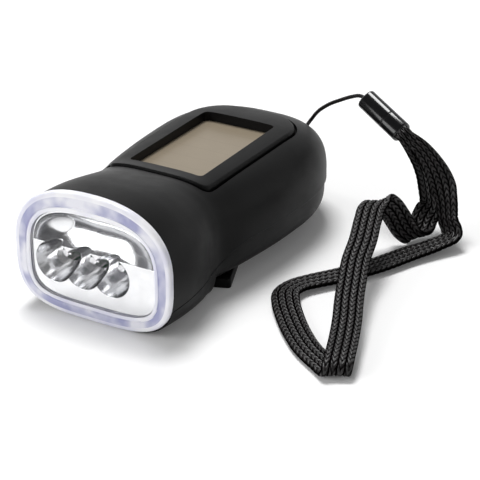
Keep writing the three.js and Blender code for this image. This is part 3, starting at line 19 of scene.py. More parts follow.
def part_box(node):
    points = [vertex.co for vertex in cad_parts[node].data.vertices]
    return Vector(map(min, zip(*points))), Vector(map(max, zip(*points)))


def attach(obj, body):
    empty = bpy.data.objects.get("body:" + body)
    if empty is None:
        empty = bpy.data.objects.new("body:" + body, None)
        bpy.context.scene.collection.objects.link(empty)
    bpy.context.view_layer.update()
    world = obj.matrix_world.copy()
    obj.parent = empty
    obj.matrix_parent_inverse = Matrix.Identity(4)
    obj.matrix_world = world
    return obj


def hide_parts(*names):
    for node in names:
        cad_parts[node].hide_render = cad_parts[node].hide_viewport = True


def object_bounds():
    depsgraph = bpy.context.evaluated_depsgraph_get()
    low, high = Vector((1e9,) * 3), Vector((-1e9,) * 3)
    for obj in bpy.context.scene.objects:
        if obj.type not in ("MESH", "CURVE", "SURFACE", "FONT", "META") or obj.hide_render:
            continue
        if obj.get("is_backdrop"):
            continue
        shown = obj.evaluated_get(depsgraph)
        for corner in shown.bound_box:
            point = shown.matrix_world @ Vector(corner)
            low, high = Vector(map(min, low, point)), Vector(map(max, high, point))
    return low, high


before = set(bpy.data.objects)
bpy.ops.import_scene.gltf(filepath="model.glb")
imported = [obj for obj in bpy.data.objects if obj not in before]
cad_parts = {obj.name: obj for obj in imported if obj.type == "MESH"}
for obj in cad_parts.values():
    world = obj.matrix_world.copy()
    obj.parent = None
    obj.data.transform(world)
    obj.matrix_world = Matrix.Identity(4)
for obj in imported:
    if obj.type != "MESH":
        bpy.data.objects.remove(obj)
LOG = logging.getLogger("torch")

Pair = tuple[float, float]
Triple = tuple[float, float, float]
Table = Sequence[Pair]
Outline = list[Pair]
Rings = list[np.ndarray]
Thing = bpy.types.Object
Socket = bpy.types.NodeSocket
Value = Union[float, Sequence[float], Socket]
Inputs = dict[Union[int, str], Value]

MM = 0.001
UNDER, OVER = -4.0, 60.0  # Ends of cutting tools, clear of the torch
WHITE = (1, 1, 1, 1)
QUARTER = math.pi / 2


# Sizes of the torch


@dataclass(frozen=True)
class TorchSizes:
    """Sizes that several sub-assemblies share."""

    length: float = 105.0
    width: float = 52.8
    head_height: float = 37.9
    body_height: float = 31.9
    wall: float = 2.0
    seat_gap: float = 0.3
    fit_gap: float = 0.15
    shell_front: float = 1.9
    tail_start: float = 73.0
    foot_sink: float = 0.3
    belly_height: float = 3.7
    foot_end: float = 28.0
    foot_slope: float = 1.6
    parting_head: float = 9.0
    parting_body: float = 13.3
    parting_rise_start: float = 23.0
    parting_rise_end: float = 45.0
    skirt_step: float = 0.5
    panel_top: float = 29.3
    panel_thickness: float = 1.6
    hub: Pair = (0.0, 22.5)
    button_from_lens: float = 30.5
    button_height: float = 17.5
    button_half: Pair = (4.5, 3.1)

    def along(self, from_lens: float) -> float:
        """Place along Y of a distance from the lens face."""
        return from_lens - self.length / 2


SIZES = TorchSizes()
CASE_SCREWS = ("case_screw_front_left", "case_screw_front_right",
               "case_screw_back_left", "case_screw_back_right")

# Shares of the sizes, and powers of the sections, each at its share of the length
HALF_WIDTH_SHARES: Table = (
    (0, 0.939), (0.043, 0.939), (0.095, 0.932), (0.152, 0.909), (0.21, 0.867), (0.257, 0.825),
    (0.29, 0.822), (0.333, 0.85), (0.39, 0.897), (0.467, 0.942), (0.562, 0.981), (0.638, 0.996),
    (0.695, 1),
)
TOP_SHARES: Table = (
    (0, 0.983), (0.043, 0.95), (0.095, 0.883), (0.152, 0.733), (0.21, 0.533), (0.257, 0.33),
    (0.305, 0.14), (0.371, -0.01), (0.505, -0.02), (0.695, 0),
)
MIDDLE_SHARES: Table = (
    (0, 0.493), (0.124, 0.462), (0.286, 0.422), (0.457, 0.39), (0.695, 0.369),
)
TOP_POWERS: Table = (
    (0, 2.39), (0.086, 2.45), (0.2, 2.6), (0.276, 3), (0.39, 3.6), (0.505, 3.7), (0.695, 3.7),
)
BOTTOM_POWERS: Table = (
    (0, 3.48), (0.124, 4.4), (0.238, 5.5), (0.362, 6.5), (0.695, 6.5),
)


# Curves and meshes


def curve_at(table: Table, at: float) -> float:
    """Smooth value of a table of pairs, without overshoot between them.

    Args:
        table: Rising places and their values.
        at: Place to read.

    Returns:
        The value there.
    """
    last = len(table) - 1
    x = min(max(at, table[0][0]), table[last][0])
    i = max(k for k in range(last) if k == 0 or x > table[k][0])
    slopes = [(b[1] - a[1]) / (b[0] - a[0]) for a, b in zip(table, table[1:])]

    def tangent(k: int) -> float:
        """Slope of the smooth curve at a pair."""
        before, after = slopes[max(k - 1, 0)], slopes[min(k, last - 1)]
        return 0.0 if before * after <= 0 else 2 * before * after / (before + after)

    span = table[i + 1][0] - table[i][0]
    t = (x - table[i][0]) / span
    a, b = table[i][1], table[i + 1][1]
    m, n = tangent(i) * span, tangent(i + 1) * span
    return a + t * m + t * t * (3 * (b - a) - 2 * m - n) + t ** 3 * (2 * (a - b) + m + n)


def eased(value: float, start: float, end: float) -> float:
    """Smooth step from 0 at start to 1 at end."""
    t = min(max((value - start) / (end - start), 0.0), 1.0)
    return t * t * (3 - 2 * t)


def round_edge(radius: float, count: int) -> Outline:
    """Depth and inset of places down a rounded edge, the last where its side is reached."""
    return [(radius * (1 - math.cos(a)), radius * (1 - math.sin(a)))
            for a in np.linspace(0, QUARTER, count)]


def circle(count: int) -> tuple[np.ndarray, np.ndarray]:
    """Cosine and sine of even turns round a circle."""
    angle = np.linspace(0, 2 * math.pi, count, endpoint=False)
    return np.cos(angle), np.sin(angle)


def mesh_object(name: str, points: Sequence[Sequence[float]], faces: Sequence[Sequence[int]],
                closed: bool = True) -> Thing:
    """Object from points in millimetres.

    Args:
        name: Name of the object.
        points: Rows of x, y and z.
        faces: Corners of each face.
        closed: Turn every face outwards.

    Returns:
        The linked object.
    """
    mesh = bpy.data.meshes.new(name)
    mesh.from_pydata((np.asarray(points, float) * MM).tolist(), [], faces)
    if closed:
        work = bmesh.new()
        work.from_mesh(mesh)
        bmesh.ops.recalc_face_normals(work, faces=work.faces)
        work.to_mesh(mesh)
        work.free()
    mesh.update()
    made = bpy.data.objects.new(name, mesh)
    bpy.context.scene.collection.objects.link(made)
    return made


def loft(name: str, rings: Rings) -> Thing:
    """Closed solid through a row of rings with the same count of points.

    Args:
        name: Name of the object.
        rings: The rings in order.

    Returns:
        The object.
    """
    count, last = len(rings[0]), (len(rings) - 1) * len(rings[0])
    points = [p for ring in rings for p in ring]
    faces: list[list[int]] = []
    for start in range(0, last, count):
        for i in range(count):
            a, b = start + i, start + (i + 1) % count
            faces.append([a, b, b + count, a + count])
    for start, way in ((0, -1), (last, 1)):
        points.append(np.mean(points[start:start + count], axis=0))
        for i in range(count):
            faces.append([len(points) - 1, *[start + i, start + (i + 1) % count][::way]])
    return mesh_object(name, points, faces)


def bar(name: str, outline: Outline, low: float, high: float, axes: str = "xyz") -> Thing:
    """Straight bar of an outline.

    Args:
        name: Name of the object.
        outline: Corners in the plane of the first two axes.
        low: Start along the third axis.
        high: End along the third axis.
        axes: Axis of each of the outline's directions and of the bar.

    Returns:
        The object.
    """
    order = [axes.index(a) for a in "xyz"]
    flat = np.array(outline, float)
    rows = [np.column_stack([flat, np.full(len(flat), h)])[:, order] for h in (low, high)]
    count = len(flat)
    faces = [list(range(count)), list(range(count, 2 * count))]
    faces += [[i, (i + 1) % count, count + (i + 1) % count, count + i] for i in range(count)]
    return mesh_object(name, np.vstack(rows), faces)


def turned(name: str, profile: Table, place: Pair, axis: str = "z", sides: int = 48) -> Thing:
    """Turned solid about an axis.

    Args:
        name: Name of the object.
        profile: Radius and place along the axis, starting and ending on it.
        place: Centre in the two other axes, in the order x, y, z.
        axis: Axis of the turning.
        sides: Faces round the axis.

    Returns:
        The object.
    """
    others = [a for a in "xyz" if a != axis]
    cosines, sines = circle(sides)
    points: list[list[float]] = []
    rows: list[list[int]] = []
    for radius, along in profile:
        around = 1 if radius < 1e-9 else sides
        first = len(points)
        for c, s in zip(cosines[:around], sines[:around]):
            spot = {others[0]: place[0] + radius * c, others[1]: place[1] + radius * s, axis: along}
            points.append([spot["x"], spot["y"], spot["z"]])
        rows.append([first + i % around for i in range(sides)])
    faces = []
    for a, b in zip(rows, rows[1:]):
        for i in range(sides):
            k = (i + 1) % sides
            corners = list(dict.fromkeys([a[i], a[k], b[k], b[i]]))
            if len(corners) > 2:
                faces.append(corners)
    return mesh_object(name, points, faces)


def rod(name: str, radius: float, low: float, high: float, place: Pair, axis: str = "z",
        sides: int = 48) -> Thing:
    """Plain round rod along an axis."""
    profile = [(0, low), (radius, low), (radius, high), (0, high)]
    return turned(name, profile, place, axis, sides)


def block(name: str, x: Pair, y: Pair, z: Pair) -> Thing:
    """Box between two places on each axis."""
    return bar(name, [(x[0], y[0]), (x[1], y[0]), (x[1], y[1]), (x[0], y[1])], *z)


class Cut(Enum):
    """Ways that a solid works on another."""

    TAKE = "DIFFERENCE"
    ADD = "UNION"
    KEEP = "INTERSECT"


def shaped(base: Thing, *steps: tuple[Cut, Thing]) -> Thing:
    """Cut, join or keep other solids in order, and remove them.

    Args:
        base: Object that is shaped.
        steps: What each other object does to it.

    Returns:
        The shaped object.
    """
    for way, other in steps:
        tool = base.modifiers.new("shape", "BOOLEAN")
        tool.operation = way.value
        tool.solver = "MANIFOLD"
        tool.object = other
    graph = bpy.context.evaluated_depsgraph_get()
    mesh = bpy.data.meshes.new_from_object(base.evaluated_get(graph))
    old = base.data
    base.modifiers.clear()
    base.data = mesh
    bpy.data.meshes.remove(old)
    for _, other in steps:
        bpy.data.objects.remove(other)
    return base


def rounded_box(half_x: float, half_y: float, radius: float, centre: Pair = (0, 0),
                steps: int = 6) -> Outline:
    """Outline of a rectangle with round corners.

    Args:
        half_x: Half of its width.
        half_y: Half of its height.
        radius: Radius of the corners.
        centre: Its middle.
        steps: Parts of each corner.

    Returns:
        The outline.
    """
    r = min(radius, half_x, half_y)
    return [
        (centre[0] + sx * (half_x - r) + r * math.cos((start + i / steps) * QUARTER),
         centre[1] + sy * (half_y - r) + r * math.sin((start + i / steps) * QUARTER))
        for sx, sy, start in ((1, -1, -1), (1, 1, 0), (-1, 1, 1), (-1, -1, 2))
        for i in range(steps + 1)
    ]


def bend(a: Pair, b: Pair, c: Pair, steps: int) -> Outline:
    """Points of a curve from a to c that leans to b, without the last one."""
    return [tuple((1 - t) ** 2 * a[k] + 2 * t * (1 - t) * b[k] + t * t * c[k] for k in (0, 1))
            for t in (i / steps for i in range(steps))]


# Finishes


class Graph:
    """A node tree that is filled step by step."""

    def __init__(self, tree: bpy.types.NodeTree) -> None:
        """Start with a tree."""
        self.tree = tree

    def fill(self, node: bpy.types.Node, inputs: Inputs) -> None:
        """Set the inputs of a node, or link those that are given as sockets.

        Args:
            node: Node to fill.
            inputs: Value or socket for each input's name or place.
        """
        for key, value in inputs.items():
            if isinstance(value, bpy.types.NodeSocket):
                self.tree.links.new(value, node.inputs[key])
            else:
                node.inputs[key].default_value = value

    def add(self, kind: str, inputs: Optional[Inputs] = None, **settings: Any) -> bpy.types.Node:
        """New shader node.

        Args:
            kind: What follows ShaderNode in its type.
            inputs: Value or socket for each input's name or place.
            settings: Its other settings, made before the inputs.

        Returns:
            The node.
        """
        node = self.tree.nodes.new("ShaderNode" + kind)
        for key, value in settings.items():
            setattr(node, key, value)
        self.fill(node, inputs or {})
        return node

    def place(self, kind: str = "Object") -> Socket:
        """Coordinates of a kind."""
        return self.add("TexCoord").outputs[kind]

    def axis(self, place: Socket, name: str) -> Socket:
        """One of the three parts of a place."""
        return self.add("SeparateXYZ", {"Vector": place}).outputs[name]

    def noise(self, scale: float, detail: float = 2.0, rough: float = 0.5,
              stretch: Triple = (1, 1, 1)) -> Socket:
        """Noise in the object's own coordinates.

        Args:
            scale: Noise cells for each metre.
            detail: Levels of finer noise.
            rough: Strength of the finer levels.
            stretch: Scale along each axis.

        Returns:
            The noise, about 0.5.
        """
        place = self.add("Mapping", {"Vector": self.place(), "Scale": stretch}).outputs["Vector"]
        return self.add("TexNoise", {"Vector": place, "Scale": scale, "Detail": detail,
                                     "Roughness": rough}).outputs["Fac"]

    def stretched(self, source: Socket, low: float, high: float, start: float = 0.3,
                  end: float = 0.7) -> Socket:
        """Value stretched from start..end to low..high, and held beyond them."""
        return self.add("MapRange", {"Value": source, "From Min": start, "From Max": end,
                                     "To Min": low, "To Max": high}).outputs["Result"]

    def mixed(self, factor: Socket, a: Value, b: Value) -> Socket:
        """Colour that goes from a to b with a factor."""
        ends = {key: value if isinstance(value, bpy.types.NodeSocket) else (*value, 1)
                for key, value in (("A", a), ("B", b))}
        return self.add("Mix", {"Factor": factor, **ends}, data_type="RGBA").outputs["Result"]

    def clouded(self, scale: float, a: Triple, b: Triple) -> Socket:
        """Colour that drifts between a and b."""
        return self.mixed(self.stretched(self.noise(scale, 3), 0, 1), a, b)

    def maths(self, operation: str, a: Value, b: Value) -> Socket:
        """Result of an operation on two values."""
        return self.add("Math", {0: a, 1: b}, operation=operation).outputs["Value"]

    def bump(self, height: Socket, distance: float, strength: float, edge: float = 0.0) -> Socket:
        """Normal of a bump over softened edges.

        Args:
            height: Height from 0 to 1.
            distance: Height of 1 in metres.
            strength: Share of the bump.
            edge: Radius of the softened edges in metres, or 0.

        Returns:
            The normal.
        """
        inputs: Inputs = {"Height": height, "Distance": distance, "Strength": strength}
        if edge:
            inputs["Normal"] = self.add("Bevel", {"Radius": edge}, samples=4).outputs["Normal"]
        return self.add("Bump", inputs).outputs["Normal"]


def new_material(name: str) -> tuple[bpy.types.Material, Graph, bpy.types.Node]:
    """New material with its graph.

    Args:
        name: Name of the material.

    Returns:
        The material, its graph and its principled shader.
    """
    made = bpy.data.materials.new(name)
    made.use_nodes = True
    return made, Graph(made.node_tree), made.node_tree.nodes["Principled BSDF"]


@dataclass(frozen=True)
class MouldedPlastic:
    """Opaque moulded plastic with a fine grain and faint handling marks."""

    name: str
    colour: Triple
    worn: Triple
    roughness: float
    grain: float = 2600.0
    depth: float = 0.000012
    edge: float = 0.00025
    specular: float = 0.5
    cloud_scale: float = 60
    haze_scale: float = 170
    haze: float = 0.035

    def material(self) -> bpy.types.Material:
        """Make the material of this finish.

        Returns:
            The material.
        """
        made, graph, shader = new_material(self.name)
        graph.fill(shader, {
            "Specular IOR Level": self.specular,
            "Base Color": graph.clouded(self.cloud_scale, self.colour, self.worn),
            "Roughness": graph.stretched(graph.noise(self.haze_scale, 4, 0.6),
                                         self.roughness - self.haze, self.roughness + self.haze),
            "Normal": graph.bump(graph.noise(self.grain), self.depth, 0.5, self.edge),
        })
        return made


@dataclass(frozen=True)
class ClearPlastic:
    """Clear polished plastic, with a share of it that scatters light; its colour drifts in streaks
    of painted reflection, and it grows more opaque at grazing angles, a painted reflection too.
    """

    name: str
    colour: Triple
    body: float
    shade: Triple = (0.8, 0.8, 0.88)
    gloss: float = 0.03
    streak: float = 80
    stretch: Triple = (1, 1, 1)
    ior: float = 1.49
    streak_range: Pair = (0.38, 0.62)
    grazing_reflection_body: float = 0.4
    slant_start: float = 0.45

    def material(self) -> bpy.types.Material:
        """Make the material of this finish.

        Returns:
            The material.
        """
        made, graph, shader = new_material(self.name)
        streaks = graph.noise(self.streak, stretch=self.stretch)
        slant = graph.add("LayerWeight", {"Blend": 0.5}).outputs["Facing"]
        graph.fill(shader, {
            "Roughness": self.gloss,
            "IOR": self.ior,
            # Painted reflection: streaks between the two tints stand for light reflected inside the
            # clear body
            "Base Color": graph.mixed(graph.stretched(streaks, 0, 1, *self.streak_range),
                                      self.colour, self.shade),
            # Painted reflection: the body grows towards grazing angles, where clear plastic
            # reflects more
            "Alpha": graph.stretched(slant, self.body, min(1.0, self.body + self.grazing_reflection_body),
                                     self.slant_start, 1),
        })
        return made


@dataclass(frozen=True)
class BrightMetal:
    """Metal with fine marks along one direction."""

    name: str
    colour: Triple
    roughness: float
    stretch: Triple = (1, 1, 1)
    depth: float = 0.000006
    edge: float = 0.0001
    cloud_scale: float = 240
    mark_scale: float = 900
    dull: float = 0.9
    polish: Pair = (0.8, 1.3)

    def material(self) -> bpy.types.Material:
        """Make the material of this finish.

        Returns:
            The material.
        """
        made, graph, shader = new_material(self.name)
        dull = tuple(c * self.dull for c in self.colour)
        marks = graph.noise(self.mark_scale, 3, 0.6, self.stretch)
        graph.fill(shader, {
            "Metallic": 1,
            "Base Color": graph.clouded(self.cloud_scale, self.colour, dull),
            "Roughness": graph.stretched(marks, *(self.roughness * share for share in self.polish)),
            "Normal": graph.bump(marks, self.depth, 0.4, self.edge),
        })
        return made


@dataclass(frozen=True)
class SolarFilm:
    """Brown thin-film cells under clear resin, with their cut lines."""

    name: str = "solar_film"
    colour: Triple = (0.232, 0.193, 0.14)
    line: Triple = (0.216, 0.179, 0.131)
    pitch: float = 0.0068
    line_share: float = 0.03
    roughness: float = 0.32
    specular: float = 0.3
    cloud_scale: float = 120
    pale: float = 1.06

    def material(self) -> bpy.types.Material:
        """Make the material of this finish.

        Returns:
            The material.
        """
        made, graph, shader = new_material(self.name)
        wave = graph.maths("PINGPONG", graph.axis(graph.place(), "Y"), self.pitch / 2)
        edge = graph.stretched(wave, 1, 0, 0, self.pitch * self.line_share)
        pale = tuple(c * self.pale for c in self.colour)
        graph.fill(shader, {
            "Roughness": self.roughness,
            "Specular IOR Level": self.specular,
            "Base Color": graph.mixed(edge, graph.clouded(self.cloud_scale, self.colour, pale),
                                      self.line),
        })
        return made


@dataclass(frozen=True)
class BraidedYarn:
    """Black synthetic yarn with fine fibres and a few faded ones, with painted shade in the grooves
    between stitches.
    """

    name: str = "braided_yarn"
    colour: Triple = (0.006, 0.0055, 0.0055)
    faded: Triple = (0.026, 0.021, 0.022)
    # groove: painted shade, the darker yarn colour deep in the grooves where shade falls
    groove: Triple = (0.0015, 0.0013, 0.0013)
    roughness: float = 0.4
    specular: float = 0.5
    fade_scale: float = 700
    fade_range: Pair = (0.45, 0.75)
    groove_shade_range: Pair = (0.35, 0.85)
    gloss_range: Pair = (0.5, 0.95)
    fibre_scale: float = 4200
    fibre_depth: float = 0.00006

    def material(self) -> bpy.types.Material:
        """Make the material of this finish.

        Returns:
            The material.
        """
        made, graph, shader = new_material(self.name)
        fading = graph.stretched(graph.noise(self.fade_scale, 4, 0.7), 0, 1, *self.fade_range)
        lift = graph.add("Attribute", attribute_name="lift").outputs["Fac"]
        # Painted shade: towards the bottom of each groove the relief fades the colour to the groove
        # colour and takes the specular down
        clear_of_groove_shade = graph.stretched(lift, 0, 1, *self.groove_shade_range)
        yarn = graph.mixed(fading, self.colour, self.faded)
        graph.fill(shader, {
            "Roughness": self.roughness,
            "Base Color": graph.mixed(clear_of_groove_shade, self.groove, yarn),
            "Specular IOR Level": graph.stretched(lift, 0, self.specular, *self.gloss_range),
            "Normal": graph.bump(graph.noise(self.fibre_scale, 3, 0.6), self.fibre_depth, 0.8),
        })
        return made


class Finish(Enum):
    """Finishes of the torch, each with the record's slot that it stands for."""

    SHELL = ("satin_black_shell", MouldedPlastic(
        "shell_black", (0.005, 0.005, 0.0052), (0.007, 0.007, 0.0072), 0.42, specular=0.1))
    INNER = ("matte_black_plastic", MouldedPlastic(
        "inner_black", (0.008, 0.008, 0.0085), (0.011, 0.011, 0.0115), 0.5, specular=0.3))
    BEAD = ("gloss_black_bead", MouldedPlastic(
        "bead_black", (0.006, 0.006, 0.0065), (0.008, 0.008, 0.0085), 0.14,
        grain=1500, depth=0.000004, edge=0.0003))
    SOLAR = ("solar_glass", SolarFilm())
    PLATE = ("clear_plastic", ClearPlastic("clear_plate", (0.9, 0.9, 0.98), 0.015))
    # Near-white bands of the lens rim: painted reflection, standing for light caught inside the
    # clear rim
    RIM_REFLECTION = ("clear_plastic", ClearPlastic(
        "clear_painted_reflection", (0.97, 0.97, 1.0), 0.92, (0.74, 0.74, 0.88)))
    # Lilac tint of the rim, with white streaks of painted reflection
    RIM = ("clear_plastic", ClearPlastic(
        "clear_rim", (0.42, 0.43, 0.66), 0.85, (0.93, 0.93, 1.0),
        streak=420, stretch=(0.3, 1, 0.3)))
    DIODE = ("clear_plastic", ClearPlastic("diode_resin", (0.8, 0.8, 0.76), 0.12))
    MIRROR = ("bright_plating", BrightMetal(
        "mirror_plating", (0.9, 0.905, 0.915), 0.13, depth=0.000002, edge=0.00025))
    BOARD = ("green_board", MouldedPlastic(
        "board_green", (0.015, 0.09, 0.035), (0.02, 0.11, 0.045), 0.4))
    ACETAL = ("white_acetal", MouldedPlastic(
        "white_acetal", (0.72, 0.71, 0.66), (0.66, 0.65, 0.6), 0.42))
    STEEL = ("steel", BrightMetal("plated_steel", (0.56, 0.56, 0.57), 0.24))
    FERRITE = ("magnet", MouldedPlastic(
        "dark_ferrite", (0.05, 0.05, 0.052), (0.08, 0.08, 0.082), 0.55))
    COPPER = ("copper_winding", BrightMetal(
        "enamelled_copper", (0.62, 0.26, 0.12), 0.3, stretch=(1, 1, 9), depth=0.00003))
    YARN = ("black_braid", BraidedYarn())


class Wardrobe:
    """Keeps one Blender material for each finish and fits pieces with them."""

    def __init__(self) -> None:
        """Start empty."""
        self._made: dict[Finish, bpy.types.Material] = {}

    def dress(self, made: Thing, finishes: Sequence[Finish], degrees: float) -> None:
        """Give an object its materials and shade it smooth.

        Args:
            made: Object to dress.
            finishes: Finish of each of its material places.
            degrees: Angle above which its edges stay sharp.
        """
        mesh = made.data
        mesh.materials.clear()
        for finish in finishes:
            if finish not in self._made:
                self._made[finish] = finish.value[1].material()
            mesh.materials.append(self._made[finish])
        mesh.polygons.foreach_set("use_smooth", np.ones(len(mesh.polygons), bool))
        mesh.set_sharp_from_angle(angle=math.radians(degrees))
        mesh.update()

    def keep(self, finish: Finish, *names: str) -> None:
        """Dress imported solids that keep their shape.

        Args:
            finish: Their finish.
            names: Names of the solids.
        """
        for name in names:
            self.dress(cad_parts[name], [finish], 32)
            LOG.info("solid %s keeps its shape", name)

    def fit(self, made: Thing, body: str, finish: Finish, *solids: str, degrees: float = 32,
            others: Sequence[Finish] = ()) -> Thing:
        """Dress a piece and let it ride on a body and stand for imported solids.

        Args:
            made: The piece.
            body: Body that carries it.
            finish: Finish whose slot it takes.
            solids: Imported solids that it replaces.
            degrees: Angle above which its edges stay sharp.
            others: Finishes of its further material places.

        Returns:
            The same piece.
        """
        self.dress(made, [finish, *others], degrees)
        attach(made, body)
        if solids:
            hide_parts(*solids)
        LOG.info("piece %s: %d faces", made.name, len(made.data.polygons))
        return made


# Shape of the housing


def centre_of(name: str) -> Pair:
    """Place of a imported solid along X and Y, in millimetres."""
    low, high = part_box(name)
    return (low.x + high.x) / 2 / MM, (low.y + high.y) / 2 / MM


@dataclass(frozen=True)
class Section:
    """One section across the torch, of two half super-ellipses."""

    y: float
    half: float
    middle: float
    up: float
    down: float
    top_power: float
    bottom_power: float

    def ring(self, count: int) -> np.ndarray:
        """Points round the section.

        Args:
            count: Number of points.

        Returns:
            Rows of x, y and z.
        """
        c, s = circle(count)
        power = np.where(s >= 0, self.top_power, self.bottom_power)
        reach = np.where(s >= 0, self.up, self.down)
        x = self.half * np.sign(c) * np.abs(c) ** (2 / power)
        z = self.middle + reach * np.sign(s) * np.abs(s) ** (2 / power)
        return np.column_stack([x, np.full(count, self.y), z])

    def share(self, x: float, z: float) -> float:
        """How near a point is to the outline.

        Args:
            x: Sideways place of the point.
            z: Height of the point.

        Returns:
            0 in the middle, 1 on the outline and more outside it.
        """
        above = z >= self.middle
        reach, power = (self.up, self.top_power) if above else (self.down, self.bottom_power)
        return abs(x / self.half) ** power + abs((z - self.middle) / reach) ** power

    def drawn(self, s: float, inset: float) -> "Section":
        """The same section at a distance from the lens face, drawn in by an inset."""
        return replace(self, y=SIZES.along(s), half=self.half - inset, up=self.up - inset,
                       down=self.down - inset)

    def solid(self, name: str, *pairs: Pair, points: int = 128) -> Thing:
        """Solid of the section, from a distance and an inset for each ring."""
        return loft(name, [self.drawn(*pair).ring(points) for pair in pairs])


# Sections of the lens and of its window
LENS_BOTTOM, LENS_MIDDLE = 0.5, 18.74
LENS = Section(y=0, half=25.0, middle=LENS_MIDDLE, up=SIZES.head_height - LENS_MIDDLE,
               down=LENS_MIDDLE - LENS_BOTTOM, top_power=2.39, bottom_power=3.48)
WINDOW = Section(y=0, half=20.0, middle=17.0, up=14.7, down=12.1, top_power=3.0,
                 bottom_power=4.2)


@dataclass(frozen=True)
class Housing:
    """Form that the shells, the bezel and the hollow inside share."""

    step: float = 1.6
    tail_steps: int = 26
    tail_powers: Triple = (2.3, 2.7, 5.0)
    tail_end_power: float = 2.2
    slope_steps: int = 6
    slope_clear: float = 0.6
    parting_steps: int = 24
    parting_past: float = 3.0

    def section(self, s: float, inset: float, skirt: float) -> Section:
        """Section at a distance from the lens face.

        Args:
            s: Distance from the lens face.
            inset: How far the section is drawn in.
            skirt: How far the part behind the waist is drawn in more.

        Returns:
            The section.
        """
        z = SIZES
        at = min(s, z.tail_start) / z.length
        middle = z.head_height * curve_at(MIDDLE_SHARES, at)
        top = z.body_height + (z.head_height - z.body_height) * curve_at(TOP_SHARES, at)
        rise = eased(s, z.foot_end, z.foot_end + z.foot_slope)
        bottom = -z.foot_sink + (z.belly_height + z.foot_sink) * rise
        step = skirt * eased(s, z.foot_end, z.parting_rise_end)
        half = z.width / 2 * curve_at(HALF_WIDTH_SHARES, at) - inset - step
        past = (s - z.tail_start) / (z.length - inset - step - z.tail_start)
        u = min(max(past, 0.0), 1.0)
        plan, over, under = (max(1 - u ** p, 0.0) ** (1 / p) for p in self.tail_powers)
        powers = [self.tail_end_power + (curve_at(t, at) - self.tail_end_power) * math.sqrt(1 - u)
                  for t in (TOP_POWERS, BOTTOM_POWERS)]
        return Section(z.along(s), half * plan, middle, (top - inset - middle) * over,
                       (middle - bottom - inset) * under, *powers)

    def solid(self, name: str, start: float, inset: float, skirt: float = 0.0,
              points: int = 144) -> Thing:
        """Closed solid of the whole form.

        Args:
            name: Name of the object.
            start: Distance of its front from the lens face.
            inset: How far it is drawn in.
            skirt: How far the part behind the waist is drawn in more.
            points: Points round each ring.

        Returns:
            The object.
        """
        z = SIZES
        run, tail = z.tail_start - start, z.length - inset - skirt - z.tail_start
        steps = math.ceil(run / self.step)
        places = [start + run * i / steps for i in range(steps + 1)]
        low, high = z.foot_end - self.slope_clear, z.foot_end + z.foot_slope + self.slope_clear
        places = [s for s in places if s < low or s > high]
        places += [z.foot_end + z.foot_slope * i / self.slope_steps
                   for i in range(self.slope_steps + 1)]
        places += [z.tail_start + tail * math.sin((i + 1) / self.tail_steps * QUARTER)
                   for i in range(self.tail_steps)]
        return loft(name, [self.section(s, inset, skirt).ring(points) for s in sorted(places)])

    def below_parting(self, shift: float) -> Thing:
        """Region under the parting line, moved up or down by a shift.

        Args:
            shift: How far up it is moved.

        Returns:
            The solid of the region.
        """
        z = SIZES
        front, back = z.along(0), z.along(z.length + self.parting_past)
        outline: Outline = [(front, UNDER), (back, UNDER), (back, z.parting_body + shift)]
        for i in range(self.parting_steps, -1, -1):
            run = (z.parting_rise_end - z.parting_rise_start) * i / self.parting_steps
            s = z.parting_rise_start + run
            rise = eased(s, z.parting_rise_start, z.parting_rise_end)
            height = z.parting_head + (z.parting_body - z.parting_head) * rise
            outline.append((z.along(s), height + shift))
        outline.append((front, z.parting_head + shift))
        return bar("below", outline, -OVER, OVER, "yzx")


@dataclass(frozen=True)
class BezelPlan:
    """Plan outlines of the solar bezel and its window."""

    front: float = 31.2
    length: float = 58.3
    front_width: float = 32.8
    back_width: float = 34.8
    bow: float = 1.0
    front_radius: float = 3.0
    back_radius: float = 12.0
    window_front: float = 36.7
    window_length: float = 42.1
    window_width: float = 24.0
    window_radius: float = 1.6

    def outline(self, grow: float) -> Outline:
        """Outline of the bezel, grown by an offset.

        Args:
            grow: How far it is grown.

        Returns:
            The outline.
        """
        y0 = SIZES.along(self.front) - grow
        y1 = SIZES.along(self.front + self.length) + grow
        hf, hb = self.front_width / 2 + grow, self.back_width / 2 + grow
        rf, rb = self.front_radius + grow, self.back_radius + grow
        mid, low, high = (y0 + y1) / 2, y0 + self.bow, y1 - rb
        rows = bend((-hf + rf, low), (0, y0 - self.bow), (hf - rf, low), 16)
        rows += bend((hf - rf, low), (hf, low), (hf, low + rf), 8)
        rows += bend((hf, low + rf), (hb, mid), (hb, high), 16)
        for centre, start in ((hb - rb, 0.0), (-hb + rb, 0.5)):
            turns = [(start + i / 24) * math.pi for i in range(13)]
            rows += [(centre + rb * math.cos(a), high + rb * math.sin(a)) for a in turns]
        rows += bend((-hb, high), (-hb, mid), (-hf, low + rf), 16)[1:]
        rows += bend((-hf, low + rf), (-hf, low), (-hf + rf, low), 8)
        return rows

    def window(self, grow: float) -> Outline:
        """Outline of the window, grown by an offset."""
        centre = SIZES.along(self.window_front + self.window_length / 2)
        return rounded_box(self.window_width / 2 + grow, self.window_length / 2 + grow,
                           self.window_radius + max(grow, 0), (0, centre))


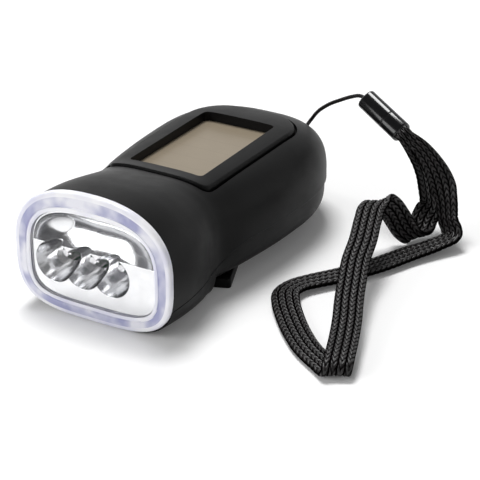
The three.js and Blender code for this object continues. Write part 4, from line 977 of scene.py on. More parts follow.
@dataclass
class Shells:
    """Upper and lower shell, with the solar bezel and panel."""

    wardrobe: Wardrobe
    housing: Housing = field(default_factory=Housing)
    plan: BezelPlan = field(default_factory=BezelPlan)
    hollow_points: int = 64
    groove_width: float = 0.6
    groove_depth: float = 1.3
    groove_top: float = 70.0
    bezel_rise: float = 0.6
    bezel_edge: float = 0.6
    panel_margin: float = 1.5
    ledge_thickness: float = 1.8
    ledge_reach: float = 2.6
    ledge_wall: float = 1.6
    sunk: float = 0.02
    socket_depth: float = 7.4
    eye: Pair = (3.0, 18.0)
    eye_radius: float = 0.9
    eye_run: Pair = (96.0, 110.0)
    well_radius: float = 2.2
    well_rise: float = 3.0
    hole_radius: float = 1.3
    boss_radius: float = 3.0
    bearing_radius: float = 4.8
    bearing_sink: float = 0.4
    bearing_top: float = 7.1
    bore_radius: float = 3.08
    ground: float = 110.0
    ground_depth: float = 30.0

    @property
    def ledge_top(self) -> float:
        """Height of the ledge under the panel."""
        return SIZES.panel_top - SIZES.panel_thickness - SIZES.fit_gap

    def button_hole(self) -> Thing:
        """Bar of the button's outline through the left flank.

        Returns:
            The bar.
        """
        w, h = (half + SIZES.seat_gap for half in SIZES.button_half)
        centre = (SIZES.along(SIZES.button_from_lens), SIZES.button_height)
        return bar("button_hole", rounded_box(w, h, h, centre, 12), -OVER, 0, "yzx")

    def lens_socket(self) -> Thing:
        """Room for the lens's spigot in the front of both shells."""
        return LENS.solid("socket", (0, SIZES.wall), (self.socket_depth, SIZES.wall))

    def upper(self) -> Thing:
        """Upper shell with its groove round the bezel.

        Returns:
            The piece.
        """
        h, plan, gap = self.housing, self.plan, SIZES.seat_gap
        low = self.ledge_top - self.ledge_thickness
        well = shaped(bar("well", plan.outline(self.ledge_wall), low, OVER),
                      (Cut.KEEP, h.solid("bound", SIZES.shell_front, self.sunk)))
        groove = shaped(bar("groove", plan.outline(gap + self.groove_width), 0, self.groove_top),
                        (Cut.TAKE, h.solid("groove_floor", 0, self.groove_depth)))
        passage = plan.window(self.panel_margin - self.ledge_reach)
        made = shaped(
            h.solid("torch_upper_shell", SIZES.shell_front, 0),
            (Cut.TAKE, h.solid("hollow", 0, SIZES.wall, 0, self.hollow_points)),
            (Cut.ADD, well),
            (Cut.TAKE, bar("pocket", plan.outline(gap), self.ledge_top, OVER)),
            (Cut.TAKE, bar("passage", passage, 0, OVER)),
            (Cut.TAKE, groove),
            (Cut.TAKE, self.lens_socket()),
            (Cut.TAKE, h.below_parting(gap * 0.5)),
            (Cut.TAKE, self.button_hole()),
            (Cut.TAKE, rod("eye", self.eye_radius, *map(SIZES.along, self.eye_run), self.eye,
                           "y", 24)),
        )
        return self.wardrobe.fit(made, "housing", Finish.SHELL, "upper_shell")

    def lower(self) -> Thing:
        """Lower shell with its screw wells and the crank's bearing.

        Returns:
            The piece.
        """
        h, belly, step = self.housing, SIZES.belly_height, SIZES.skirt_step
        wells, bosses = [], []
        well_top = belly + self.well_rise
        for place in map(centre_of, CASE_SCREWS):
            wells += [
                (Cut.TAKE, rod("screw_well", self.well_radius, UNDER, well_top, place)),
                (Cut.TAKE, rod("screw_hole", self.hole_radius, UNDER, OVER, place, sides=24)),
            ]
            boss = rod("boss", self.boss_radius, belly, SIZES.parting_body - SIZES.seat_gap, place)
            bound = h.solid("bound", SIZES.shell_front, self.sunk, step, self.hollow_points)
            bosses.append((Cut.ADD, shaped(boss, (Cut.KEEP, bound))))
        made = shaped(
            h.solid("torch_lower_shell", SIZES.shell_front, 0, step),
            (Cut.TAKE, h.solid("hollow", 0, SIZES.wall, step, self.hollow_points)),
            (Cut.KEEP, h.below_parting(-SIZES.seat_gap * 0.25)),
            *bosses,
            (Cut.ADD, rod("bearing", self.bearing_radius, belly + self.bearing_sink,
                          self.bearing_top, SIZES.hub)),
            (Cut.TAKE, block("ground", (-OVER, OVER), (-self.ground, self.ground),
                             (-self.ground_depth, 0))),
            (Cut.TAKE, self.lens_socket()),
            (Cut.TAKE, rod("bore", self.bore_radius, UNDER, OVER, SIZES.hub)),
            *wells,
        )
        return self.wardrobe.fit(made, "housing", Finish.SHELL, "lower_shell")

    def bezel(self) -> Thing:
        """Raised frame round the solar panel, its edge rounded in layers.

        Returns:
            The piece.
        """
        low, plan = self.ledge_top + SIZES.fit_gap, self.plan
        layers = [shaped(bar("layer", plan.outline(-inset), low, OVER),
                         (Cut.KEEP, self.housing.solid("crown", 0, -self.bezel_rise + drop)))
                  for inset, drop in round_edge(self.bezel_edge, 6)]
        layers[0].name = "torch_solar_bezel"
        pocket = plan.window(self.panel_margin + SIZES.fit_gap)
        made = shaped(
            layers[0],
            *[(Cut.ADD, layer) for layer in layers[1:]],
            (Cut.TAKE, bar("opening", plan.window(0), 0, OVER)),
            (Cut.TAKE, bar("panel_pocket", pocket, 0, SIZES.panel_top + SIZES.fit_gap)),
        )
        return self.wardrobe.fit(made, "housing", Finish.SHELL, "solar_bezel", degrees=24)

    def build(self) -> None:
        """Make all the pieces."""
        self.upper()
        self.lower()
        self.bezel()
        self.wardrobe.keep(Finish.SOLAR, "solar_panel")


@dataclass
class LightHead:
    """Lens, reflector and diodes."""

    wardrobe: Wardrobe
    ring_points: int = 192
    rim: float = 5.0
    plate: float = 0.6
    depth: float = 1.6
    edge: float = 0.7
    window_share: float = 0.99
    window_steps: Table = (
        (0.0, 0.22), (0.08, 0.2), (0.25, 0.05), (0.45, 0.0), (1.1, 0.0), (1.25, 0.14),
        (1.45, 0.14), (1.6, 0.0), (2.0, 0.0), (2.8, 0.0), (3.6, 0.0),
    )
    # Widths of the outer and inner bands of painted reflection on the rim
    reflection_bands: Pair = (1.5, 1.0)
    spigot: float = 5.5
    flange: float = 1.2
    cup_radius: float = 6.0
    cup_throat: float = 3.1
    cup_depth: float = 8.5
    cup_spacing: float = 9.2
    cup_shift: float = -3.6
    cup_height: float = 15.2
    cup_steps: int = 8
    throat_run: Pair = (1.0, 12.0)
    skin: float = 1.0
    dome_base: float = 20.6
    dome_depth: float = 7.0
    dome_steps: int = 22
    lip: float = 0.4
    board_from_lens: float = 12.6
    diode_radius: float = 2.5
    diode_length: float = 8.6
    collar_radius: float = 2.9
    collar: float = 1.0
    anvil: Pair = (-1.5, -0.2)
    anvil_start: float = 3.2
    post: Pair = (0.6, 1.3)
    post_start: float = 3.0
    frame_half: float = 0.3
    bowl: Table = ((0, 2.6), (1.1, 2.6), (0.7, 4.0), (0, 4.0))
    bowl_shift: float = -0.4

    @property
    def face(self) -> float:
        """Distance of the reflector's face from the lens face."""
        return self.plate + SIZES.seat_gap

    @property
    def cup_places(self) -> list[float]:
        """Sideways places of the three cups."""
        return [self.cup_shift + side * self.cup_spacing for side in (-1, 0, 1)]

    def lens(self) -> Thing:
        """Clear cover with a rounded edge and a hollow behind its plate.

        Returns:
            The piece.
        """
        inside = WINDOW.drawn(0, 0).ring(self.ring_points)
        outside = LENS.drawn(0, self.edge).ring(self.ring_points)
        rings = [inside + (outside - inside) * step / (self.rim - self.edge) + np.array([0, at, 0])
                 for step, at in self.window_steps]
        rings += [LENS.drawn(*pair).ring(self.ring_points)
                  for pair in [*round_edge(self.edge, 6), (self.depth, 0)]]
        end, inner = self.depth + self.spigot, SIZES.wall + SIZES.seat_gap
        made = shaped(
            loft("torch_lens", rings),
            (Cut.ADD, LENS.solid("spigot", (self.depth - 1, inner), (end, inner))),
            (Cut.TAKE, WINDOW.solid("hollow", (self.plate, 0), (end + 3, 0))),
        )
        self.wardrobe.fit(made, "housing", Finish.RIM, "lens",
                          others=[Finish.PLATE, Finish.RIM_REFLECTION])
        for polygon in made.data.polygons:
            centre = polygon.center / MM
            polygon.material_index = self.place_of(centre.x, centre.z)
        return made

    def place_of(self, x: float, z: float) -> int:
        """Material place of a face of the lens: 0 rim, 1 plate, 2 band of painted reflection.

        Args:
            x: Sideways place of its middle.
            z: Height of its middle.

        Returns:
            The material place.
        """
        if WINDOW.share(x, z) < self.window_share:
            return 1
        outer, inner = self.reflection_bands
        bright = LENS.drawn(0, outer).share(x, z) > 1 or WINDOW.drawn(0, -inner).share(x, z) < 1
        return 2 if bright else 0

    def cups(self, grow: float, name: str) -> Thing:
        """Three round cups that overlap, as one solid.

        Args:
            grow: How far they are grown.
            name: Name of the object.

        Returns:
            The solid.
        """
        start, end = SIZES.along(self.face), SIZES.along(self.face + self.cup_depth)
        profile = [(0.0, start)]
        for t in (i / self.cup_steps for i in range(self.cup_steps + 1)):
            radius = self.cup_throat + (self.cup_radius - self.cup_throat) * math.sqrt(1 - t)
            profile.append((radius + grow, start + (end - start) * t))
        profile.append((0.0, end))
        first, *others = [turned(name, profile, (x, self.cup_height), "y", 96)
                          for x in self.cup_places]
        return shaped(first, *[(Cut.ADD, other) for other in others])

    def dome(self, grow: float, name: str) -> Thing:
        """Dome above the cups, as wide as the window at its mouth.

        Args:
            grow: How far it is grown.
            name: Name of the object.

        Returns:
            The solid.
        """
        mouth = WINDOW.drawn(0, SIZES.fit_gap + self.lip - grow).ring(self.ring_points)[:, [0, 2]]
        base = self.dome_base - grow
        arch = mouth[mouth[:, 1] > base]
        arch = arch[np.argsort(np.arctan2(arch[:, 1] - base, arch[:, 0]))]
        floor = np.linspace(arch[-1][0], arch[0][0], 32, endpoint=False)
        outline = np.vstack([arch, np.column_stack([floor, np.full(len(floor), base)])])
        rings = []
        for angle in np.linspace(0, QUARTER, self.dome_steps)[:-1]:
            shrink, deep = math.cos(angle), (self.dome_depth + grow) * math.sin(angle)
            rings.append(np.column_stack([
                outline[:, 0] * shrink, np.full(len(outline), SIZES.along(self.face) + deep),
                base + (outline[:, 1] - base) * shrink]))
        rings.insert(0, rings[0] - np.array([0, 1, 0]))
        return loft(name, rings)

    def reflector(self) -> Thing:
        """Plated reflector with its cups and dome.

        Returns:
            The piece.
        """
        inset, near = SIZES.fit_gap, self.face
        start, end = (SIZES.along(near + at) for at in self.throat_run)
        bound = WINDOW.solid("bound", (near, inset), (near + self.cup_depth, inset))
        throats = [rod("throat", self.cup_throat, start, end, (x, self.cup_height), "y")
                   for x in self.cup_places]
        made = shaped(
            WINDOW.solid("torch_reflector", (near, inset), (near + self.flange, inset)),
            (Cut.ADD, self.cups(self.skin, "cup_walls")),
            (Cut.ADD, self.dome(self.skin, "dome_wall")),
            (Cut.KEEP, bound),
            (Cut.TAKE, self.cups(0, "cup_hollows")),
            (Cut.TAKE, self.dome(0, "dome_hollow")),
            *[(Cut.TAKE, throat) for throat in throats],
        )
        return self.wardrobe.fit(made, "housing", Finish.MIRROR, "reflector", degrees=28)

    def diode(self, name: str, x: float) -> None:
        """One diode: clear body with its lead frame inside.

        Args:
            name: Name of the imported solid.
            x: Sideways place.
        """
        back = SIZES.along(self.board_from_lens) - SIZES.fit_gap
        tip, radius, z = back - self.diode_length, self.diode_radius, self.cup_height
        dome = [(radius - inset, tip + depth) for depth, inset in round_edge(radius, 10)]
        collar = back - self.collar
        body = turned(f"torch_{name}", [*dome, (radius, collar), (self.collar_radius, collar),
                                        (self.collar_radius, back), (0, back)], (x, z), "y")
        self.wardrobe.fit(body, "housing", Finish.DIODE, name)
        bowl = [(wide, tip + at) for wide, at in self.bowl]
        thick = (z - self.frame_half, z + self.frame_half)
        anvil, post = ((x + side[0], x + side[1]) for side in (self.anvil, self.post))
        anvil = shaped(
            block(f"torch_{name}_frame", anvil, (tip + self.anvil_start, back), thick),
            (Cut.ADD, turned("bowl", bowl, (x + self.bowl_shift, z), "y", 24)),
            (Cut.ADD, block("post", post, (tip + self.post_start, back), thick)),
        )
        self.wardrobe.fit(anvil, "housing", Finish.MIRROR)

    def build(self) -> None:
        """Make all the pieces."""
        self.lens()
        self.reflector()
        for name, x in zip(("led_left", "led_middle", "led_right"), self.cup_places):
            self.diode(name, x)
        self.wardrobe.keep(Finish.BOARD, "led_board")


@dataclass
class Mechanism:
    """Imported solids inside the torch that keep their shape."""

    wardrobe: Wardrobe

    def build(self) -> None:
        """Dress each solid."""
        keep = self.wardrobe.keep
        keep(Finish.INNER, "gear_plate", "switch_body", "cell_holder")
        keep(Finish.ACETAL, "crank_wheel", "first_gear", "second_gear", "rotor_pinion",
             "switch_plunger")
        keep(Finish.STEEL, "first_axle", "second_axle", "rotor_axle", "crank_shaft", "knob_pin",
             "generator_can", "coin_cell", "plate_screw_left", "plate_screw_right",
             "plate_screw_back")
        keep(Finish.FERRITE, "magnet_ring")
        keep(Finish.COPPER, "stator_coil")
        keep(Finish.BOARD, "main_board")


@dataclass
class CrankArm:
    """Folding crank under the torch and its finger grip, drawn along +X from the hub."""

    wardrobe: Wardrobe
    reach: float = 44.2
    half_width: float = 6.0
    thickness: float = 3.2
    arm_edge: float = 0.4
    arm_corner: float = 0.9
    hub_radius: float = 9.5
    turn: float = -68.4
    slot: Pair = (24.0, 7.0)
    slot_corner: float = 0.8
    slot_end: float = 1.2
    pin_inset: float = 3.2
    shaft_bore: Pair = (3.15, 1.95)
    screw_bore: float = 1.15
    head_bore: Pair = (2.05, 1.4)
    pin_bore: Pair = (0.75, 5.65)
    knob_thickness: float = 2.8
    knob_edge: float = 0.5
    heel_half: float = 2.2
    ridges: int = 5
    ridge_radius: float = 0.7
    ridge_start: float = 5.0
    ridge_pitch: float = 2.2
    ridge_sink: float = 0.45
    ridge_share: float = 0.8
    neck_inset: float = 0.02
    pin_hole: Pair = (0.68, 7.0)
    tool_run: Pair = (-3.0, 20.0)

    @property
    def pin(self) -> Pair:
        """Place of the knob's pin along X and Z."""
        return self.reach - self.pin_inset, self.thickness / 2

    def settled(self, made: Thing, body: str, solid: str) -> Thing:
        """Turn a piece to its place of rest and fit it.

        Args:
            made: The piece.
            body: Body that carries it.
            solid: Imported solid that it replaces.

        Returns:
            The same piece.
        """
        turn = Matrix.Rotation(math.radians(self.turn), 4, "Z")
        made.data.transform(Matrix.Translation(Vector((*SIZES.hub, 0)) * MM) @ turn)
        return self.wardrobe.fit(made, body, Finish.SHELL, solid)

    def soft_bar(self, name: str, outline: Callable[[float], Outline], low: float, high: float,
                 edge: float) -> Thing:
        """Bar along Z with round upper and lower edges.

        Args:
            name: Name of the object.
            outline: Outline for each inset.
            low: Its underside.
            high: Its top.
            edge: Radius of the edges.

        Returns:
            The bar.
        """
        steps = round_edge(edge, 5)
        rows = [(low + lift, inset) for lift, inset in steps]
        rows += [(high - lift, inset) for lift, inset in reversed(steps)]
        flat = [(np.array(outline(inset)), z) for z, inset in rows]
        return loft(name, [np.column_stack([ring, np.full(len(ring), z)]) for ring, z in flat])

    def arm(self) -> Thing:
        """Flat arm with a round hub and a slot for the grip.

        Returns:
            The piece.
        """
        half, top, edge = self.reach / 2, self.thickness, self.arm_edge

        def plan(inset: float) -> Outline:
            """Outline of the arm."""
            return rounded_box(half - inset, self.half_width - inset, self.arm_corner, (half, 0))

        (length, width), (under, over) = self.slot, self.tool_run
        middle = (self.reach - self.slot_end - length / 2, 0)
        slot = rounded_box(length / 2, width / 2, self.slot_corner, middle)
        hub = [(0, 0), (self.hub_radius - edge, 0), (self.hub_radius, edge),
               (self.hub_radius, top - edge), (self.hub_radius - edge, top), (0, top)]
        made = shaped(
            self.soft_bar("torch_crank_arm", plan, 0, top, edge),
            (Cut.ADD, turned("hub", hub, (0, 0), "z", 72)),
            (Cut.TAKE, bar("slot", slot, under, over)),
            (Cut.TAKE, rod("shaft_bore", *self.shaft_bore, over, (0, 0))),
            (Cut.TAKE, rod("screw_bore", self.screw_bore, under, over, (0, 0), sides=24)),
            (Cut.TAKE, rod("head_bore", self.head_bore[0], under, self.head_bore[1], (0, 0))),
            (Cut.TAKE, rod("pin_bore", self.pin_bore[0], -self.pin_bore[1], self.pin_bore[1],
                           self.pin, "y", 24)),
        )
        return self.settled(made, "crank", "crank_arm")

    def grip(self) -> Thing:
        """Folding finger grip with shallow ridges.

        Returns:
            The piece.
        """
        length, width = self.slot
        low = (self.thickness - self.knob_thickness) / 2
        high = low + self.knob_thickness
        start = self.reach - self.slot_end - length + SIZES.seat_gap
        end = self.pin[0] - self.knob_thickness / 2 - SIZES.seat_gap
        half = width / 2 - SIZES.seat_gap

        def plan(inset: float) -> Outline:
            """Outline of the grip."""
            centre = ((start + end) / 2, 0)
            return rounded_box((end - start) / 2 - inset, half - inset, half, centre, 10)

        heel = (-self.heel_half, self.heel_half)
        first, sunk = start + self.ridge_start, low - self.ridge_sink
        wide = half * self.ridge_share
        ridges = [rod("ridge", self.ridge_radius, -wide, wide,
                      (first + self.ridge_pitch * i, sunk), "y", 20) for i in range(self.ridges)]
        neck = block("neck", (end - half, self.pin[0]), heel,
                     (low + self.neck_inset, high - self.neck_inset))
        made = shaped(
            self.soft_bar("torch_crank_grip", plan, low, high, self.knob_edge),
            (Cut.ADD, rod("heel", self.knob_thickness / 2, *heel, self.pin, "y")),
            (Cut.ADD, neck),
            (Cut.TAKE, rod("pin_hole", self.pin_hole[0], -self.pin_hole[1], self.pin_hole[1],
                           self.pin, "y", 24)),
            *[(Cut.TAKE, ridge) for ridge in ridges],
        )
        return self.settled(made, "knob", "crank_knob")

    def build(self) -> None:
        """Make both pieces."""
        self.arm()
        self.grip()


@dataclass
class SlideSwitch:
    """Push button on the left flank."""

    wardrobe: Wardrobe
    face_steps: Table = ((0.9, 0), (0.55, 0.08), (0.25, 0.25), (0, 0.6))
    flange: float = 1.0
    flange_thickness: float = 0.9
    line_radius: float = 0.35
    line_half: float = 1.7
    line_sink: float = 0.12
    line_places: Triple = (-1.6, 0, 1.6)

    def build(self) -> None:
        """Make the button."""
        low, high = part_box("switch_button")
        outer, inner = low.x / MM, high.x / MM
        y, z = SIZES.along(SIZES.button_from_lens), SIZES.button_height
        w, h = SIZES.button_half
        shoulder = inner - self.flange_thickness
        rings = []
        for inset, x in [*[(inset, outer + at) for inset, at in self.face_steps], (0, shoulder),
                         (-self.flange, shoulder), (-self.flange, inner)]:
            outline = np.array(rounded_box(w - inset, h - inset, h - inset, (y, z), 12))
            rings.append(np.column_stack([np.full(len(outline), x), outline]))
        lines = [rod("line", self.line_radius, z - self.line_half, z + self.line_half,
                     (outer - self.line_sink, y + d), "z", 16) for d in self.line_places]
        made = shaped(loft("torch_switch_button", rings), *[(Cut.TAKE, line) for line in lines])
        self.wardrobe.fit(made, "button", Finish.INNER, "switch_button")


@dataclass
class Screws:
    """Case screws and the crank's screw, with a cross in each head."""

    wardrobe: Wardrobe
    head_radius: float = 1.9
    radius: float = 1.0
    head_height: float = 1.1
    head_steps: Table = ((0.7, 0), (0.93, 0.25), (1, 0.6))
    slit: Pair = (1.05, 0.2)
    slit_depth: float = 0.6

    def screw(self, name: str, body: str) -> None:
        """One screw with its head below.

        Args:
            name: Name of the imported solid.
            body: Body that carries it.
        """
        low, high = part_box(name)
        x, y = centre_of(name)
        head, tip = low.z / MM, high.z / MM
        under, wide, thin = head + self.head_height, self.head_radius, self.radius
        profile = [(0, head), *[(wide * share, head + at) for share, at in self.head_steps],
                   (wide, under), (thin, under), (thin, tip - thin), (0, tip)]
        cross = [block("slit", (x - a, x + a), (y - b, y + b), (head - 1, head + self.slit_depth))
                 for a, b in (self.slit, self.slit[::-1])]
        made = shaped(turned(f"torch_{name}", profile, (x, y), "z", 32),
                      *[(Cut.TAKE, slit) for slit in cross])
        self.wardrobe.fit(made, body, Finish.STEEL, name)

    def build(self) -> None:
        """Make the screws that can be seen."""
        for name in CASE_SCREWS:
            self.screw(name, "housing")
        self.screw("crank_screw", "crank")


# Lanyard

# Routes of the cord and the strap, the strap with the direction of its width
CORD_ROUTE = [
    (3, 47.9, 18), (3, 51.2, 18), (3.1, 53.4, 18), (4.4, 55.2, 18.9), (7, 55.3, 21.2),
    (9.2, 54.12, 23.96), (11.8, 53.8, 27.4), (15.9, 53.26, 30.78), (19.8, 53.06, 32.98),
    (23.5, 52.84, 34.82), (27, 51.7, 36.2), (29.2, 50.9, 36.1), (30.05, 50.6, 35.85),
]
STRAP_ROUTE = [
    (43.5, 44.34, 31.4, 0.48, 0.57, 0.67), (45.95, 43.32, 30.51, 0.47, 0.55, 0.65),
    (48.27, 44.84, 26.22, 0.3, 0.82, 0.4), (49.89, 46.36, 21.98, 0.16, 0.96, 0.15),
    (51.21, 47.16, 17.59, 0.12, 0.99, 0), (52.67, 46.62, 13.23, 0.12, 0.99, 0),
    (54.34, 45.27, 8.9, 0.3, 0.93, 0.1), (54.7, 40.9, 6, 0.65, 0.72, 0.2),
    (55.36, 37.16, 3.9, 0.88, 0.35, 0.3), (54.76, 33.96, 3.6, 0.85, 0.1, 0.5),
    (52.18, 33.08, 5.4, 0.7, 0.3, 0.62), (50, 32.6, 8.6, 0.55, 0.5, 0.65),
    (48.6, 30.6, 12.2, 0.5, 0.7, 0.45), (46.63, 27.22, 15.06, 0.74, 0.65, 0.1),
    (46.5, 22.11, 15.6, 0.86, 0.5, 0), (48.3, 15.8, 14.6, 0.86, 0.5, 0),
    (51.1, 7.2, 12.6, 0.86, 0.5, 0), (53.3, -1.4, 10.6, 0.86, 0.5, 0),
    (56.3, -9.5, 8.8, 0.86, 0.5, 0), (59.5, -17.6, 7.2, 0.86, 0.5, 0),
    (63, -25.5, 5.9, 0.86, 0.5, 0), (66.3, -33.9, 5, 0.86, 0.5, 0), (68.9, -41, 4.6, 0.86, 0.5, 0),
    (70.2, -44.8, 3.9, 0.86, 0.5, 0), (70.2, -45.8, 2.6, 0.86, 0.5, 0),
    (69, -44.9, 1.5, 0.84, 0.54, 0), (65.6, -42.6, 1.25, 0.78, 0.62, 0),
    (57.8, -37.4, 1.2, 0.7, 0.71, 0), (51.7, -31.7, 1.2, 0.69, 0.72, 0),
    (46.1, -25.4, 1.25, 0.69, 0.72, 0), (40.8, -18.6, 1.6, 0.8, 0.6, 0.05),
    (38, -13.2, 1.8, 0.97, 0.1, 0.1), (38.6, -8, 1.8, 0.95, -0.3, 0.1),
    (41.7, -2.8, 1.8, 0.9, -0.43, 0.06), (45.9, 3, 1.8, 0.89, -0.46, 0.04),
    (52, 13.6, 1.8, 0.89, -0.46, 0.04), (57.2, 25.6, 1.9, 0.89, -0.46, 0.06),
    (61.6, 33.6, 2.4, 0.88, -0.42, 0.15), (64.4, 39.2, 3.8, 0.9, -0.4, 0.2),
    (61.79, 42.23, 7.31, 0.9, -0.42, 0.1), (59.85, 44.89, 11.98, 0.9, -0.2, 0.2),
    (57.14, 46.35, 16.96, 0.72, 0.5, 0.33), (54.27, 45.99, 21.95, 0.55, 0.7, 0.38),
    (50.44, 44.98, 26.79, 0.45, 0.75, 0.4), (46.05, 44.95, 29.04, 0.47, 0.55, 0.65),
    (43.6, 45.9, 30, 0.48, 0.57, 0.67),
]


def run_of(places: np.ndarray) -> np.ndarray:
    """Way covered at each place of a row."""
    return np.concatenate([[0], np.cumsum(np.linalg.norm(np.diff(places, axis=0), axis=1))])


def smooth_route(rows: np.ndarray, steps: int) -> np.ndarray:
    """Centripetal curve through a route, spaced evenly along it.

    Args:
        rows: Three columns of places, and any columns of directions.
        steps: Number of even steps.

    Returns:
        Rows of the same columns.
    """
    def segment(p: np.ndarray, t: np.ndarray) -> np.ndarray:
        """Curve between the middle two of four rows.

        Args:
            p: The four rows.
            t: Shares of the way, in one column.

        Returns:
            A row for each share.
        """
        gaps = [max(float(np.sum((p[k + 1] - p[k]) ** 2)) ** 0.25, 1e-4) for k in range(3)]
        first, last = (
            ((p[k + 1] - p[k]) / gaps[k] - (p[k + 2] - p[k]) / (gaps[k] + gaps[k + 1])
             + (p[k + 2] - p[k + 1]) / gaps[k + 1]) * gaps[1] for k in (0, 1))
        return (p[1] + t * first + t ** 2 * (3 * (p[2] - p[1]) - 2 * first - last)
                + t ** 3 * (2 * (p[1] - p[2]) + first + last))

    padded = np.vstack([2 * rows[0] - rows[1], rows, 2 * rows[-1] - rows[-2]])
    t = np.linspace(0, 1, 60, endpoint=False)[:, None]
    dense = np.vstack([
        np.hstack([segment(padded[i:i + 4, k:k + 3], t) for k in range(0, rows.shape[1], 3)])
        for i in range(len(rows) - 1)] + [rows[-1]])
    run = run_of(dense[:, :3])
    even = np.linspace(0, run[-1], steps + 1)
    return np.column_stack([np.interp(even, run, column) for column in dense.T])


def unit(rows: np.ndarray) -> np.ndarray:
    """Rows scaled to length one."""
    return rows / np.linalg.norm(rows, axis=-1, keepdims=True)


def spread(place: np.ndarray, x: np.ndarray, wide: np.ndarray, y: np.ndarray,
           thick: np.ndarray) -> np.ndarray:
    """Ring round a place, from shares along two directions."""
    return place + np.outer(x, wide) + np.outer(y, thick)


